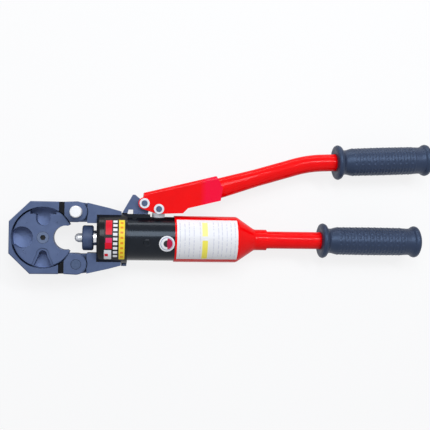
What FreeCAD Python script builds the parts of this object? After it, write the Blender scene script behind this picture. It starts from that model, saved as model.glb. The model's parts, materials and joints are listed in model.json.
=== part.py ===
import FreeCAD, Part
import math
import os
import re
import Sketcher
from FreeCAD import Placement, Rotation, Vector

# Hydraulic crimping tool with a rotary die disc, a hinged head and a hand pump.
# Millimetres. The origin is the centre of the nest in use, +X runs from the head to the grips,
# +Y points to the moving handle and +Z is the face that carries the labels.

doc = FreeCAD.newDocument("CrimpingTool")
sheet = doc.addObject("Spreadsheet::Sheet", "Sizes")

# Driving sizes
sizes = {
    # fits
    "running_gap": 0.05,
    "seat_gap": 0.02,
    "soft_gap": 0.3,
    # die disc
    "nest_radius": 14.9,
    "nest_mouth_half": 16.4,
    "nest_flare_start": 2.6,
    "disc_offset": 26.9,
    "disc_radius": 36,
    "disc_front": 11.5,
    "disc_back": 7.7,
    "slot_nest_half": 8.8,
    "slot_nest_depth": 21.6,
    "slot_nest_shoulder": 7.4,
    "slot_nest_shoulder_half": 15.6,
    "round_nest_radius": 13.2,
    "round_nest_offset": 24.9,
    "arch_nest_radius": 5,
    "arch_nest_depth": 20.5,
    "arch_nest_mouth_half": 11.5,
    "arch_step_depth": 2,
    "arch_step_width": 3,
    "disc_edge_bevel": 0.8,
    "screw_shoulder_radius": 5,
    "screw_thread_radius": 4,
    "screw_head_radius": 6.9,
    "screw_head_height": 3,
    "screw_head_sink": 2.4,
    "screw_key_across": 6,
    "screw_key_depth": 4,
    # detent of the disc
    "detent_ring_radius": 29,
    "detent_angle": 45,
    "detent_ball_radius": 2.5,
    "detent_rise": 1,
    "detent_track_half": 2.2,
    "detent_hole_depth": 6.6,
    "detent_wire": 0.8,
    "detent_turns": 1.5,
    # jaw frame
    "frame_left": 66.9,
    "frame_edge_half": 19.4,
    "frame_corner_x": 41.9,
    "frame_half_height": 44,
    "frame_half_thick": 16,
    "frame_edge_bevel": 1.2,
    "pocket_gap": 1.5,
    "pocket_floor": 8,
    "groove_near": 1.4,
    "groove_width": 6.6,
    "groove_depth": 8,
    "throat_radius": 18.4,
    "throat_shift": 1,
    "pin_x": 13.1,
    "pin_offset": 32,
    "ear_radius": 12.7,
    "slot_gap": 0.3,
    "slot_end_gap": 1.1,
    "hinge_pin_radius": 6.2,
    "hinge_pin_bevel": 0.6,
    "latch_pin_radius": 7,
    "latch_pin_bevel": 1,
    "latch_draw": 24,
    "latch_ring_half": 0.7,
    "latch_ring_depth": 0.6,
    # yoke
    "tongue_half": 7,
    "tongue_radius": 12.4,
    "yoke_gap": 1,
    "yoke_half_thick": 13,
    "opening_half": 18.4,
    "arm_half": 43.4,
    "wing_mid_x": 52.9,
    "wing_mid_half": 37.2,
    "wing_end": 67.2,
    "wing_end_half": 33.3,
    "boss_front": 37.6,
    "boss_length": 37,
    "boss_radius": 31.5,
    "boss_rounding": 4,
    "guide_length": 8.4,
    "yoke_thread_radius": 24,
    "wiper_start": 1.5,
    "wiper_length": 3.4,
    "wiper_depth": 2.6,
    "lock_screw_inset": 3.6,
    "lock_screw_radius": 2.4,
    "lock_screw_rise": 3,
    "lock_screw_head_radius": 3.3,
    # ram
    "rod_radius": 9.5,
    "ram_stroke": 14,
    "ram_head_radius": 15.5,
    "ram_head_front": 19.9,
    "ram_head_length": 13.4,
    "ram_head_bevel": 1.4,
    "ram_thread_radius": 6,
    "ram_thread_depth": 8,
    "punch_radius": 5.6,
    "punch_length": 9.4,
    "punch_tip_radius": 2.4,
    "punch_cheek_radius": 4.3,
    "punch_cheek_length": 1.6,
    "punch_taper_length": 4.2,
    "punch_shank_radius": 4,
    "punch_shank_length": 5,
    "bore_radius": 19,
    "spring_block_length": 14,
    "piston_length": 14,
    "piston_rest_gap": 2,
    "piston_seal_depth": 3.2,
    "piston_seal_length": 5,
    "return_wire": 2.5,
    "return_coil_radius": 15.2,
    "return_turns": 4,
    # pump barrel
    "barrel_radius": 27.5,
    "barrel_length": 58.1,
    "tail_length": 13,
    "block_length": 28,
    "block_top": 30.5,
    "block_half": 9,
    "block_wall": 3,
    # pump plunger
    "pump_inset": 19.7,
    "plunger_radius": 5,
    "plunger_length": 44,
    "plunger_chamber_low": 14,
    "eye_half_thick": 7,
    "eye_half_width": 8.6,
    "eye_drop": 3.2,
    "eye_rise": 6.6,
    "eye_play": 1.5,
    "eye_back_play": 0.6,
    "eye_rise_play": 0.12,
    "eye_corner": 3,
    "gland_seat": 26.5,
    "gland_radius": 9,
    "gland_height": 5.8,
    "gland_neck_radius": 8,
    "gland_neck_length": 10,
    "plunger_seal_depth": 2,
    "plunger_seal_length": 4,
    "plunger_seal_inset": 2,
    # valves
    "valve_drop": 11,
    "valve_bore_radius": 3.5,
    "valve_port_radius": 1.6,
    "valve_ball_radius": 2.6,
    "valve_wire": 1,
    "valve_turns": 2,
    "valve_retainer_length": 2,
    "valve_seat_length": 6,
    "discharge_depth": 12,
    "suction_inset": 9,
    "suction_room": 9,
    "relief_inset": 14.6,
    "relief_offset": 4.6,
    "relief_cap_radius": 4.4,
    "relief_cap_length": 5,
    "relief_cap_rise": 0.6,
    "relief_key_depth": 2.6,
    "relief_bore_low": 8,
    "relief_bore_radius": 2.6,
    "relief_port_radius": 1.2,
    "relief_ball_radius": 2.2,
    "relief_wire": 1,
    "relief_turns": 5,
    "release_inset": 8.7,
    "release_height": 26.4,
    "release_knob_radius": 3.1,
    "release_knob_length": 3.4,
    "release_stem_radius": 2,
    "release_stem_length": 12,
    "release_ball_radius": 1.5,
    "release_slot_width": 1,
    # handle lug and pins
    "link_reach": 17.9,
    "link_drop": 6.8,
    "pivot_height": 44,
    "lug_half": 7,
    "lug_round": 7.5,
    "lug_apex_back": 11.4,
    "lug_apex_rise": 10.4,
    "lug_apex_width": 3,
    "lug_slope_back": 6.6,
    "lug_slope_rise": 6.5,
    "lug_foot_length": 6.6,
    "lug_window_length": 7,
    "lug_window_height": 5.4,
    "lug_window_slope": 1.2,
    "lug_rear_inset": 3,
    "pivot_pin_radius": 3.7,
    "pivot_pin_rise": 1.4,
    "pivot_pin_bevel": 0.6,
    "washer_radius": 6.2,
    "washer_thick": 1.2,
    # moving handle
    "cheek_half": 13.5,
    "sheet_wall": 3,
    "strip_start_back": 0.9,
    "strip_start_rise": 13,
    "strip_end_reach": 89.2,
    "strip_end_rise": 35.9,
    "cheek_nose": 7.5,
    "cheek_nose_turn": 20,
    "cheek_rear_reach": 97.5,
    "cheek_rear_rise": 21.5,
    "cheek_low_reach": 94.9,
    "cheek_low_rise": 4.9,
    "cheek_step_reach": 54.1,
    "cheek_step_drop": 5.3,
    "cheek_corner_reach": 47.7,
    "cheek_corner_drop": 11.6,
    "cheek_belly_reach": 16.3,
    "cheek_belly_drop": 13,
    "cheek_chin_reach": 7.5,
    "cheek_chin_drop": 10,
    "sheet_fold_radius": 4,
    "tube_radius": 11,
    "tube_wall": 2,
    "tube_start_reach": 54.9,
    "tube_start_rise": 9,
    "tube_slope": 16.8,
    "tube_run": 161.6,
    "tube_bend_radius": 150,
    "tube_bend": 13.8,
    "oval_half_height": 12.6,
    "oval_half_width": 10.4,
    "oval_length": 46,
    "oval_taper": 45,
    # grips
    "grip_radius": 17.2,
    "grip_length": 135.6,
    "grip_flange_radius": 22.6,
    "grip_flange_length": 12,
    "grip_end_radius": 20.6,
    "grip_end_length": 9,
    "grip_dome": 6,
    "grip_end_wall": 4,
    "grip_flange_rounding": 3,
    "moving_grip_reach": 35.7,
    "moving_grip_length": 130,
    # reservoir
    "sleeve_radius": 29,
    "sleeve_wall": 3,
    "sleeve_length": 79.2,
    "sleeve_shoulder": 23.4,
    "shoulder_rounding": 8,
    "neck_radius": 13.2,
    "neck_length": 15.6,
    "tube_seat_length": 20,
    "sleeve_screw_inset": 6,
    "sleeve_screw_angle": 45,
    "sleeve_screw_radius": 2,
    "sleeve_screw_head_radius": 3.4,
    "sleeve_screw_crown_radius": 2.7,
    "sleeve_screw_head_height": 1.2,
    "sleeve_screw_depth": 6,
    "bladder_wall": 1.6,
    "bladder_gap": 1.5,
    "bladder_length": 44,
    "bladder_neck_radius": 9,
    "bladder_neck_length": 8,
    "nipple_radius": 7,
    "nipple_wall": 3,
    "nipple_length": 9,
    "feed_inset": 4.3,
    "bladder_clamp_wall": 1.4,
    "bladder_clamp_length": 4,
    "filler_radius": 5,
    "filler_length": 7,
    # fixed handle
    "grip_gap_to_neck": 70.8,
    # labels
    "label_thick": 0.3,
    "label_gap": 0.06,
    "boss_label_inset": 9.2,
    "boss_label_length": 26,
    "boss_label_span": 104,
    "sleeve_label_inset": 2.3,
    "sleeve_label_length": 75.5,
    "sleeve_label_span": 112,
    "badge_radius": 9.6,
    "badge_inset": 10,
    "badge_drop": 5.3,
}

for row, (alias, value) in enumerate(sizes.items(), start=1):
    sheet.set(f"A{row}", alias)
    sheet.set(f"B{row}", str(value))
    sheet.setAlias(f"B{row}", alias)
doc.recompute()


def bound(expression):
    """Write the sheet's name before each alias of an expression."""
    def named(match):
        word = match.group(0)
        return "Sizes." + word if word in sizes else word

    return re.sub(r"[a-z_]+", named, expression)


def number(expression):
    """The present value of an expression, as a plain number."""
    result = sheet.evalExpression(bound(expression).replace("Sizes.", ""))
    return float(getattr(result, "Value", result))


# Places worked out from the driving sizes
boss_rear = "(boss_front + boss_length)"
chamber_front = "(boss_front + guide_length)"
piston_front = f"({chamber_front} + spring_block_length + ram_stroke)"
piston_rear = f"({piston_front} + piston_length)"
bore_end = f"({piston_rear} + piston_rest_gap)"
barrel_rear = f"({boss_rear} + barrel_length)"
tail_end = f"({barrel_rear} + tail_length)"
pump_x = f"({barrel_rear} - pump_inset)"
pivot_x = f"({pump_x} - link_reach)"
link_y = "(pivot_height - link_drop)"
block_rear = f"({boss_rear} + block_length)"
ram_head_rear = "(ram_head_front + ram_head_length)"
sleeve_bore = "(sleeve_radius - sleeve_wall)"
shoulder_start = f"({barrel_rear} + sleeve_length)"
neck_start = f"({shoulder_start} + sleeve_shoulder)"
neck_end = f"({neck_start} + neck_length)"
grip_start = f"({neck_end} + grip_gap_to_neck)"
cheek_inner = "(cheek_half - sheet_wall)"


# Helpers for sketches and features

def draw(sketch, loops):
    """Fill a sketch with closed loops: a ring is (x, y, radius), an outline a list of corners."""
    for loop in loops:
        if isinstance(loop, tuple):
            x, y, radius = loop
            ring = Part.Circle(Vector(number(x), number(y), 0), Vector(0, 0, 1), number(radius))
            edge = sketch.addGeometry(ring)
            pin_point(sketch, edge, 3, x, y)
            tie(sketch, Sketcher.Constraint("Radius", edge, number(radius)), radius)
            continue
        spots = [Vector(number(x), number(y), 0) for x, y in loop]
        edges = [
            sketch.addGeometry(Part.LineSegment(start, end))
            for start, end in zip(spots, spots[1:] + spots[:1])
        ]
        for edge, following in zip(edges, edges[1:] + edges[:1]):
            sketch.addConstraint(Sketcher.Constraint("Coincident", edge, 2, following, 1))
        for edge, (x, y) in zip(edges, loop):
            pin_point(sketch, edge, 1, x, y)


def pin_point(sketch, edge, which, x, y):
    """Hold one point of an edge at its two coordinates."""
    for axis, kind, expression in ((-2, "DistanceX", x), (-1, "DistanceY", y)):
        if expression == "0":
            sketch.addConstraint(Sketcher.Constraint("PointOnObject", edge, which, axis))
        else:
            rule = Sketcher.Constraint(kind, -1, 1, edge, which, number(expression))
            tie(sketch, rule, expression)


def tie(sketch, constraint, expression):
    index = sketch.addConstraint(constraint)
    sketch.setExpression(f"Constraints[{index}]", bound(expression))


def new_sketch(body, name, loops, height="0", role="XY_Plane"):
    sketch = body.newObject("Sketcher::SketchObject", name)
    plane = [item for item in body.Origin.OriginFeatures if item.Role == role][0]
    sketch.AttachmentSupport = [(plane, "")]
    sketch.MapMode = "FlatFace"
    sketch.setExpression("AttachmentOffset.Base.z", bound(height))
    draw(sketch, loops)
    return sketch


def new_body(label):
    body = doc.addObject("PartDesign::Body", label)
    body.Label = label
    return body


def pad(body, name, bottom, length, loops):
    """Solid that stands on a level plane and rises by a length."""
    sketch = new_sketch(body, name + "_sketch", loops, bottom)
    feature = body.newObject("PartDesign::Pad", name)
    feature.Profile = sketch
    feature.setExpression("Length", bound(length))
    body.Tip = feature
    return feature


def pocket(body, name, top, depth, loops):
    """Cut that starts on a level plane and goes down by a depth."""
    sketch = new_sketch(body, name + "_sketch", loops, top)
    feature = body.newObject("PartDesign::Pocket", name)
    feature.Profile = sketch
    feature.setExpression("Length", bound(depth))
    body.Tip = feature
    return feature


def spin(body, name, corners, kind="PartDesign::Revolution"):
    """Turned shape about the body's X axis, from corners given as (along, radius)."""
    sketch = new_sketch(body, name + "_sketch", [corners])
    feature = body.newObject(kind, name)
    feature.Profile = sketch
    feature.ReferenceAxis = (sketch, ["H_Axis"])
    feature.Angle = 360
    body.Tip = feature
    return feature


def hollow(body, name, corners):
    return spin(body, name, corners, "PartDesign::Groove")


turns = {
    "X": Rotation(),
    "Y": Rotation(Vector(0, 0, 1), 90),
    "Z": Rotation(Vector(0, 1, 0), -90),
    "-Y": Rotation(Vector(0, 0, 1), -90),
    "-Z": Rotation(Vector(0, 1, 0), 90),
}


def put(thing, place, rotation=Rotation()):
    """Set where an object stands, each coordinate bound to its expression."""
    thing.Placement = Placement(Vector(*[number(part) for part in place]), rotation)
    for axis, part in zip("xyz", place):
        thing.setExpression(f"Placement.Base.{axis}", bound(part))


def turned(label, corners, place=("0", "0", "0"), along="X"):
    """A node that is turned on a lathe, about an axis through its place."""
    body = new_body(label)
    spin(body, label + "_turn", corners)
    put(body, place, turns[along])
    return body


def rod(name, radius, length, place, along="X"):
    """Plain cylinder, used as a tool for holes and as a part of a node."""
    item = doc.addObject("Part::Cylinder", name)
    item.setExpression("Radius", bound(radius))
    item.setExpression("Height", bound(length))
    put(item, place, turns[along].multiply(Rotation(Vector(0, 1, 0), 90)))
    return item


def ball(label, radius, place):
    item = doc.addObject("Part::Sphere", label)
    item.Label = label
    item.setExpression("Radius", bound(radius))
    put(item, place)
    return item


def hexagon(name, across, length, place, along):
    """Six-sided bar, its size given across the flats."""
    item = doc.addObject("Part::Prism", name)
    item.Polygon = 6
    item.setExpression("Circumradius", bound(f"({across}) / sqrt(3)"))
    item.setExpression("Height", bound(length))
    put(item, place, turns[along].multiply(Rotation(Vector(0, 1, 0), 90)))
    return item


def cut(label, base, tools):
    """A node made by taking tools away from a base."""
    for index, tool in enumerate(tools, start=1):
        item = doc.addObject("Part::Cut", f"{label}_cut_{index}")
        item.Base = base
        item.Tool = tool
        item.Refine = False
        base = item
    base.Label = label
    return base


def join(label, items):
    item = doc.addObject("Part::MultiFuse", label + "_join")
    item.Shapes = items
    item.Refine = True
    item.Label = label
    return item


def group(label, items):
    """A node that holds several loose solids."""
    item = doc.addObject("Part::Compound", label + "_group")
    item.Links = items
    item.Label = label
    return item


def coil(label, radius, wire, length, count, place, along):
    """Round wire wound to a spring that fills a length from its place onward."""
    helix = doc.addObject("Part::Helix", label + "_path")
    helix.setExpression("Radius", bound(radius))
    helix.setExpression("Height", bound(f"({length}) - ({wire})"))
    helix.setExpression("Pitch", bound(f"(({length}) - ({wire})) / ({count})"))
    section = doc.addObject("Part::Circle", label + "_wire")
    section.setExpression("Radius", bound(f"({wire}) / 2"))
    section.Placement = Placement(Vector(), Rotation(Vector(1, 0, 0), 90))
    section.setExpression("Placement.Base.x", bound(radius))
    doc.recompute()
    sweep = doc.addObject("Part::Sweep", label)
    sweep.Sections = [section]
    sweep.Spine = (helix, ["Edge1"])
    sweep.Solid = True
    sweep.Frenet = True
    sweep.Label = label
    shift = dict(zip("XYZ", place))
    letter = along.strip("-")
    sign = "-" if along.startswith("-") else "+"
    shift[letter] = f"{shift[letter]} {sign} ({wire}) / 2"
    put(sweep, tuple(shift.values()), turns[along].multiply(Rotation(Vector(0, 1, 0), 90)))
    return sweep


def bevel(body, name, size, wanted):
    """Chamfer on each edge of the body's shape for which wanted(edge) is true."""
    doc.recompute()
    base = body.Tip
    names = [f"Edge{i}" for i, edge in enumerate(base.Shape.Edges, start=1) if wanted(edge)]
    feature = body.newObject("PartDesign::Chamfer", name)
    feature.Base = (base, names)
    feature.setExpression("Size", bound(size))
    body.Tip = feature
    return feature


def rounding(body, name, size, wanted):
    """Fillet on each edge of the body's shape for which wanted(edge) is true."""
    doc.recompute()
    base = body.Tip
    names = [f"Edge{i}" for i, edge in enumerate(base.Shape.Edges, start=1) if wanted(edge)]
    feature = body.newObject("PartDesign::Fillet", name)
    feature.Base = (base, names)
    feature.setExpression("Radius", bound(size))
    body.Tip = feature
    return feature


tolerance = 1e-4


def near(one, other):
    return abs(one - other) < tolerance


def level_edge(edge, height):
    """Whether the whole edge lies at one height."""
    return all(near(vertex.Z, height) for vertex in edge.Vertexes)


def ring_edge(edge, radius):
    return isinstance(edge.Curve, Part.Circle) and near(edge.Curve.Radius, radius)


def flipped(corners):
    """The mirror images of the corners below the X axis, in reverse."""
    return [(x, f"-({y})") for x, y in reversed(corners)]


def mirrored(corners):
    """An outline made of the corners and their mirror images."""
    return corners + flipped(corners)


nodes = []

# Jaw frame: an eight-sided C with a pocket for the disc and a fork at each arm
frame_top = "frame_half_thick"
jaw_frame = new_body("jaw_frame")
ear_half = "(pin_offset + ear_radius)"
ear_inner = "(pin_offset - ear_radius)"
frame_outline = mirrored([
    ("-frame_left", "frame_edge_half"),
    ("-frame_corner_x", "frame_half_height"),
    ("0", "frame_half_height"),
    ("pin_x", ear_half),
    ("pin_x", ear_inner),
    ("throat_shift", ear_inner),
])
pad(jaw_frame, "frame_plate", "-frame_half_thick", "2 * frame_half_thick", [frame_outline])
pad(jaw_frame, "frame_ears", "-frame_half_thick", "2 * frame_half_thick", [
    ("pin_x", "pin_offset", "ear_radius"),
    ("pin_x", "-pin_offset", "ear_radius"),
])


def frame_outer_edge(edge):
    """Edges of the outline on the two flat faces, left of the fork."""
    if not (level_edge(edge, number(frame_top)) or level_edge(edge, -number(frame_top))):
        return False
    middle = edge.valueAt((edge.FirstParameter + edge.LastParameter) / 2)
    reach = abs(middle.y)
    left = middle.x < number("-frame_corner_x")
    flat_top = near(reach, number("frame_half_height")) and middle.x < 0
    return left or flat_top


bevel(jaw_frame, "frame_bevel", "frame_edge_bevel", frame_outer_edge)
disc_pocket = ("-disc_offset", "0", "disc_radius + pocket_gap")
pocket(jaw_frame, "frame_disc_pocket", frame_top, f"{frame_top} + pocket_floor", [disc_pocket])
pocket(jaw_frame, "frame_throat", frame_top, "2 * frame_half_thick", [
    ("throat_shift", "0", "throat_radius"),
])
slot_half = "(tongue_half + slot_gap)"
slot_start = "(pin_x - ear_radius - slot_end_gap)"
slot_reach = "(pin_x + 2 * ear_radius)"
pocket(jaw_frame, "frame_fork_slot", slot_half, f"2 * {slot_half}", [
    mirrored([(slot_start, f"2 * {ear_half}"), (slot_reach, f"2 * {ear_half}")])
])
groove_end = "(groove_near + groove_width)"
pocket(jaw_frame, "frame_grooves", frame_top, "groove_depth", [
    mirrored([(f"-{groove_end}", f"2 * {ear_half}"), ("-groove_near", f"2 * {ear_half}")])
])
pocket(jaw_frame, "frame_pin_holes", frame_top, "2 * frame_half_thick", [
    ("pin_x", "pin_offset", "latch_pin_radius + running_gap"),
    ("pin_x", "-pin_offset", "hinge_pin_radius + running_gap"),
])
pocket(jaw_frame, "frame_screw_hole", frame_top, "2 * frame_half_thick", [
    ("-disc_offset", "0", "screw_thread_radius + seat_gap"),
])
detent_x = "(-disc_offset - detent_ring_radius * cos(detent_angle))"
detent_y = "(-detent_ring_radius * sin(detent_angle))"
pocket(jaw_frame, "frame_detent_hole", "-pocket_floor", "detent_hole_depth", [
    (detent_x, detent_y, "detent_ball_radius + running_gap"),
])
nodes.append(jaw_frame)

# Die disc: four nests of different shape about a centre bore
disc = new_body("die_disc")
disc_height = "(disc_front + disc_back)"
pad(disc, "disc_plate", "-disc_back", disc_height, [("0", "0", "disc_radius")])
bevel(disc, "disc_bevel", "disc_edge_bevel", lambda edge: level_edge(edge, number("disc_front")))
rim = "(2 * disc_radius)"
pocket(disc, "disc_nest_round", "disc_front", disc_height, [
    ("disc_offset", "0", "nest_radius"),
])
flare_half = "sqrt(nest_radius ^ 2 - nest_flare_start ^ 2)"
flare_x = "(disc_offset + nest_flare_start)"
mouth_x = "sqrt(disc_radius ^ 2 - nest_mouth_half ^ 2)"
pocket(disc, "disc_nest_mouth", "disc_front", disc_height, [
    mirrored([(flare_x, flare_half), (mouth_x, "nest_mouth_half"), (rim, "nest_mouth_half")])
])
slot_bottom = "(disc_radius - slot_nest_depth + slot_nest_half)"
slot_shelf = "(disc_radius - slot_nest_shoulder)"
pocket(disc, "disc_nest_slot", "disc_front", disc_height, [
    ("0", slot_bottom, "slot_nest_half"),
])
pocket(disc, "disc_nest_slot_sides", "disc_front", disc_height, [[
    ("-slot_nest_half", slot_bottom),
    ("slot_nest_half", slot_bottom),
    ("slot_nest_half", slot_shelf),
    ("slot_nest_shoulder_half", slot_shelf),
    ("slot_nest_shoulder_half", rim),
    ("-slot_nest_shoulder_half", rim),
    ("-slot_nest_shoulder_half", slot_shelf),
    ("-slot_nest_half", slot_shelf),
]])
pocket(disc, "disc_nest_large", "disc_front", disc_height, [
    ("-round_nest_offset", "0", "round_nest_radius"),
])
arch_bottom = "(disc_radius - arch_nest_depth + arch_nest_radius)"
for step, depth in (("0", disc_height), ("arch_step_width", "arch_step_depth")):
    name = "disc_nest_arch" if step == "0" else "disc_nest_arch_step"
    pocket(disc, name, "disc_front", depth, [
        ("0", f"-{arch_bottom}", f"arch_nest_radius + {step}"),
    ])
    pocket(disc, name + "_sides", "disc_front", depth, [[
        (f"-(arch_nest_radius + {step})", f"-{arch_bottom}"),
        (f"arch_nest_radius + {step}", f"-{arch_bottom}"),
        (f"arch_nest_mouth_half + {step}", "-disc_radius"),
        (f"arch_nest_mouth_half + {step}", f"-{rim}"),
        (f"-(arch_nest_mouth_half + {step})", f"-{rim}"),
        (f"-(arch_nest_mouth_half + {step})", "-disc_radius"),
    ]])
pocket(disc, "disc_bore", "disc_front", disc_height, [
    ("0", "0", "screw_shoulder_radius + running_gap"),
])
pocket(disc, "disc_counterbore", "disc_front", "screw_head_sink", [
    ("0", "0", "screw_head_radius + soft_gap"),
])
pocket(disc, "disc_detent_track", "detent_rise + running_gap - disc_back", "disc_back", [
    ("0", "0", "detent_ring_radius + detent_track_half"),
    ("0", "0", "detent_ring_radius - detent_track_half"),
])
put(disc, ("-disc_offset", "0", "0"))
nodes.append(disc)

# Shoulder screw that the disc turns on
screw_body = turned("disc_screw_blank", [
    ("-frame_half_thick", "0"),
    ("-frame_half_thick", "screw_thread_radius"),
    ("-pocket_floor", "screw_thread_radius"),
    ("-pocket_floor", "screw_shoulder_radius"),
    ("disc_front - screw_head_sink", "screw_shoulder_radius"),
    ("disc_front - screw_head_sink + running_gap", "screw_head_radius"),
    ("disc_front - screw_head_sink + screw_head_height", "screw_head_radius"),
    ("disc_front - screw_head_sink + screw_head_height", "0"),
], ("-disc_offset", "0", "0"), "Z")
screw_top = "(disc_front - screw_head_sink + screw_head_height)"
screw_key = hexagon("disc_screw_key", "screw_key_across", "2 * screw_key_depth",
                    ("-disc_offset", "0", f"{screw_top} - screw_key_depth"), "Z")
nodes.append(cut("disc_screw", screw_body, [screw_key]))

# Detent that holds the disc at each nest
detent_top = "(-disc_back + detent_rise)"
nodes.append(ball("detent_ball", "detent_ball_radius",
                  (detent_x, detent_y, f"{detent_top} - detent_ball_radius")))
detent_floor = "(-pocket_floor - detent_hole_depth)"
detent_room = f"({detent_top} - 2 * detent_ball_radius - {detent_floor})"
nodes.append(coil("detent_spring", "detent_ball_radius - detent_wire", "detent_wire",
                  detent_room, "detent_turns", (detent_x, detent_y, detent_floor), "Z"))

# Hinge pin and latch pin of the head; the latch pin is stored drawn out of the yoke
nodes.append(turned("hinge_pin", [
    ("-frame_half_thick", "0"),
    ("-frame_half_thick", "hinge_pin_radius - hinge_pin_bevel"),
    ("hinge_pin_bevel - frame_half_thick", "hinge_pin_radius"),
    ("frame_half_thick - hinge_pin_bevel", "hinge_pin_radius"),
    ("frame_half_thick", "hinge_pin_radius - hinge_pin_bevel"),
    ("frame_half_thick", "0"),
], ("pin_x", "-pin_offset", "0"), "Z"))
latch_neck = "(frame_half_thick - 2 * latch_pin_bevel - 2 * latch_ring_half)"
nodes.append(turned("latch_pin", [
    ("-frame_half_thick", "0"),
    ("-frame_half_thick", "latch_pin_radius - latch_pin_bevel"),
    ("latch_pin_bevel - frame_half_thick", "latch_pin_radius"),
    (f"{latch_neck} - 2 * latch_ring_half", "latch_pin_radius"),
    (f"{latch_neck} - latch_ring_half", "latch_pin_radius - latch_ring_depth"),
    (latch_neck, "latch_pin_radius - latch_ring_depth"),
    (f"{latch_neck} + latch_ring_half", "latch_pin_radius"),
    ("frame_half_thick - latch_pin_bevel", "latch_pin_radius"),
    ("frame_half_thick", "latch_pin_radius - latch_pin_bevel"),
    ("frame_half_thick", "0"),
], ("pin_x", "pin_offset", "latch_draw"), "Z"))

# Yoke: two arms that end in tongues, and the boss that the barrel screws into
yoke = new_body("yoke_blank")
spin(yoke, "yoke_boss", [
    ("boss_front", "0"),
    ("boss_front", "boss_radius"),
    (boss_rear, "boss_radius"),
    (boss_rear, "0"),
])
rounding(yoke, "yoke_boss_rounding", "boss_rounding",
         lambda edge: ring_edge(edge, number("boss_radius"))
         and near(edge.Vertexes[0].X, number("boss_front")))
yoke_front = "(pin_x + ear_radius)"
pad(yoke, "yoke_arms", "-yoke_half_thick", "2 * yoke_half_thick", [mirrored([
    ("boss_front + boss_rounding", "opening_half"),
    (yoke_front, "opening_half"),
    (yoke_front, "arm_half"),
    ("wing_mid_x", "wing_mid_half"),
    ("wing_end", "wing_end_half"),
])])
pocket(yoke, "yoke_ear_recess", "yoke_half_thick", "2 * yoke_half_thick", [
    ("pin_x", "pin_offset", "ear_radius + yoke_gap"),
    ("pin_x", "-pin_offset", "ear_radius + yoke_gap"),
])
tongue_low = "(pin_offset - tongue_radius)"
tongue_high = "(pin_offset + tongue_radius)"
tongue_root = f"({yoke_front} + 2 * yoke_gap)"
tongue = [
    ("pin_x", tongue_low),
    (tongue_root, tongue_low),
    (tongue_root, "arm_half - yoke_gap"),
    ("pin_x", tongue_high),
]
pad(yoke, "yoke_tongues", "-tongue_half", "2 * tongue_half", [tongue, flipped(tongue)])
pad(yoke, "yoke_tongue_ends", "-tongue_half", "2 * tongue_half", [
    ("pin_x", "pin_offset", "tongue_radius"),
    ("pin_x", "-pin_offset", "tongue_radius"),
])
pocket(yoke, "yoke_pin_holes", "tongue_half", "2 * tongue_half", [
    ("pin_x", "pin_offset", "latch_pin_radius + running_gap"),
    ("pin_x", "-pin_offset", "hinge_pin_radius + seat_gap"),
])
wiper_front = "(boss_front + wiper_start)"
wiper_rear = f"({wiper_front} + wiper_length)"
hollow(yoke, "yoke_bore", [
    ("0", "0"),
    ("0", "rod_radius + running_gap"),
    (wiper_front, "rod_radius + running_gap"),
    (wiper_front, "rod_radius + wiper_depth"),
    (wiper_rear, "rod_radius + wiper_depth"),
    (wiper_rear, "rod_radius + running_gap"),
    (chamber_front, "rod_radius + running_gap"),
    (chamber_front, "yoke_thread_radius + seat_gap"),
    (f"{boss_rear} + boss_rounding", "yoke_thread_radius + seat_gap"),
    (f"{boss_rear} + boss_rounding", "0"),
])
lock_x = f"({boss_rear} - lock_screw_inset)"
lock_hole = rod("yoke_lock_hole", "lock_screw_radius + seat_gap", "boss_radius",
                (lock_x, "-yoke_thread_radius", "0"), "-Y")
nodes.append(cut("yoke", yoke, [lock_hole]))

nodes.append(turned("rod_wiper", [
    (f"{wiper_front} + seat_gap", "rod_radius + running_gap"),
    (f"{wiper_front} + seat_gap", "rod_radius + wiper_depth - seat_gap"),
    (f"{wiper_rear} - seat_gap", "rod_radius + wiper_depth - seat_gap"),
    (f"{wiper_rear} - seat_gap", "rod_radius + running_gap"),
]))

# Screw that locks the barrel in the yoke
lock_key = hexagon("lock_screw_key", "lock_screw_radius", "2 * lock_screw_rise",
                   (lock_x, "-boss_radius - lock_screw_rise / 2", "0"), "-Y")
lock_blank = turned("lock_screw_blank", [
    ("yoke_thread_radius + seat_gap", "0"),
    ("yoke_thread_radius + seat_gap", "lock_screw_radius"),
    ("boss_radius + seat_gap", "lock_screw_radius"),
    ("boss_radius + seat_gap", "lock_screw_head_radius"),
    ("boss_radius + lock_screw_rise", "lock_screw_head_radius"),
    ("boss_radius + lock_screw_rise", "0"),
], (lock_x, "0", "0"), "-Y")
nodes.append(cut("lock_screw", lock_blank, [lock_key]))

# Ram: piston with rod, head, hardened punch and seal
seal_start = f"({piston_front} + (piston_length - piston_seal_length) / 2)"
seal_end = f"({seal_start} + piston_seal_length)"
seal_floor = "(bore_radius - piston_seal_depth)"
nodes.append(turned("piston", [
    (f"{ram_head_rear} - ram_thread_depth", "0"),
    (f"{ram_head_rear} - ram_thread_depth", "ram_thread_radius"),
    (f"{ram_head_rear} + seat_gap", "ram_thread_radius"),
    (f"{ram_head_rear} + seat_gap", "rod_radius"),
    (piston_front, "rod_radius"),
    (piston_front, "bore_radius - 2 * running_gap"),
    (seal_start, "bore_radius - 2 * running_gap"),
    (seal_start, seal_floor),
    (seal_end, seal_floor),
    (seal_end, "bore_radius - 2 * running_gap"),
    (piston_rear, "bore_radius - 2 * running_gap"),
    (piston_rear, "0"),
]))
nodes.append(turned("piston_seal", [
    (f"{seal_start} + seat_gap", f"{seal_floor} + seat_gap"),
    (f"{seal_start} + seat_gap", "bore_radius - running_gap"),
    (f"{seal_end} - seat_gap", "bore_radius - running_gap"),
    (f"{seal_end} - seat_gap", f"{seal_floor} + seat_gap"),
]))
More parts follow.
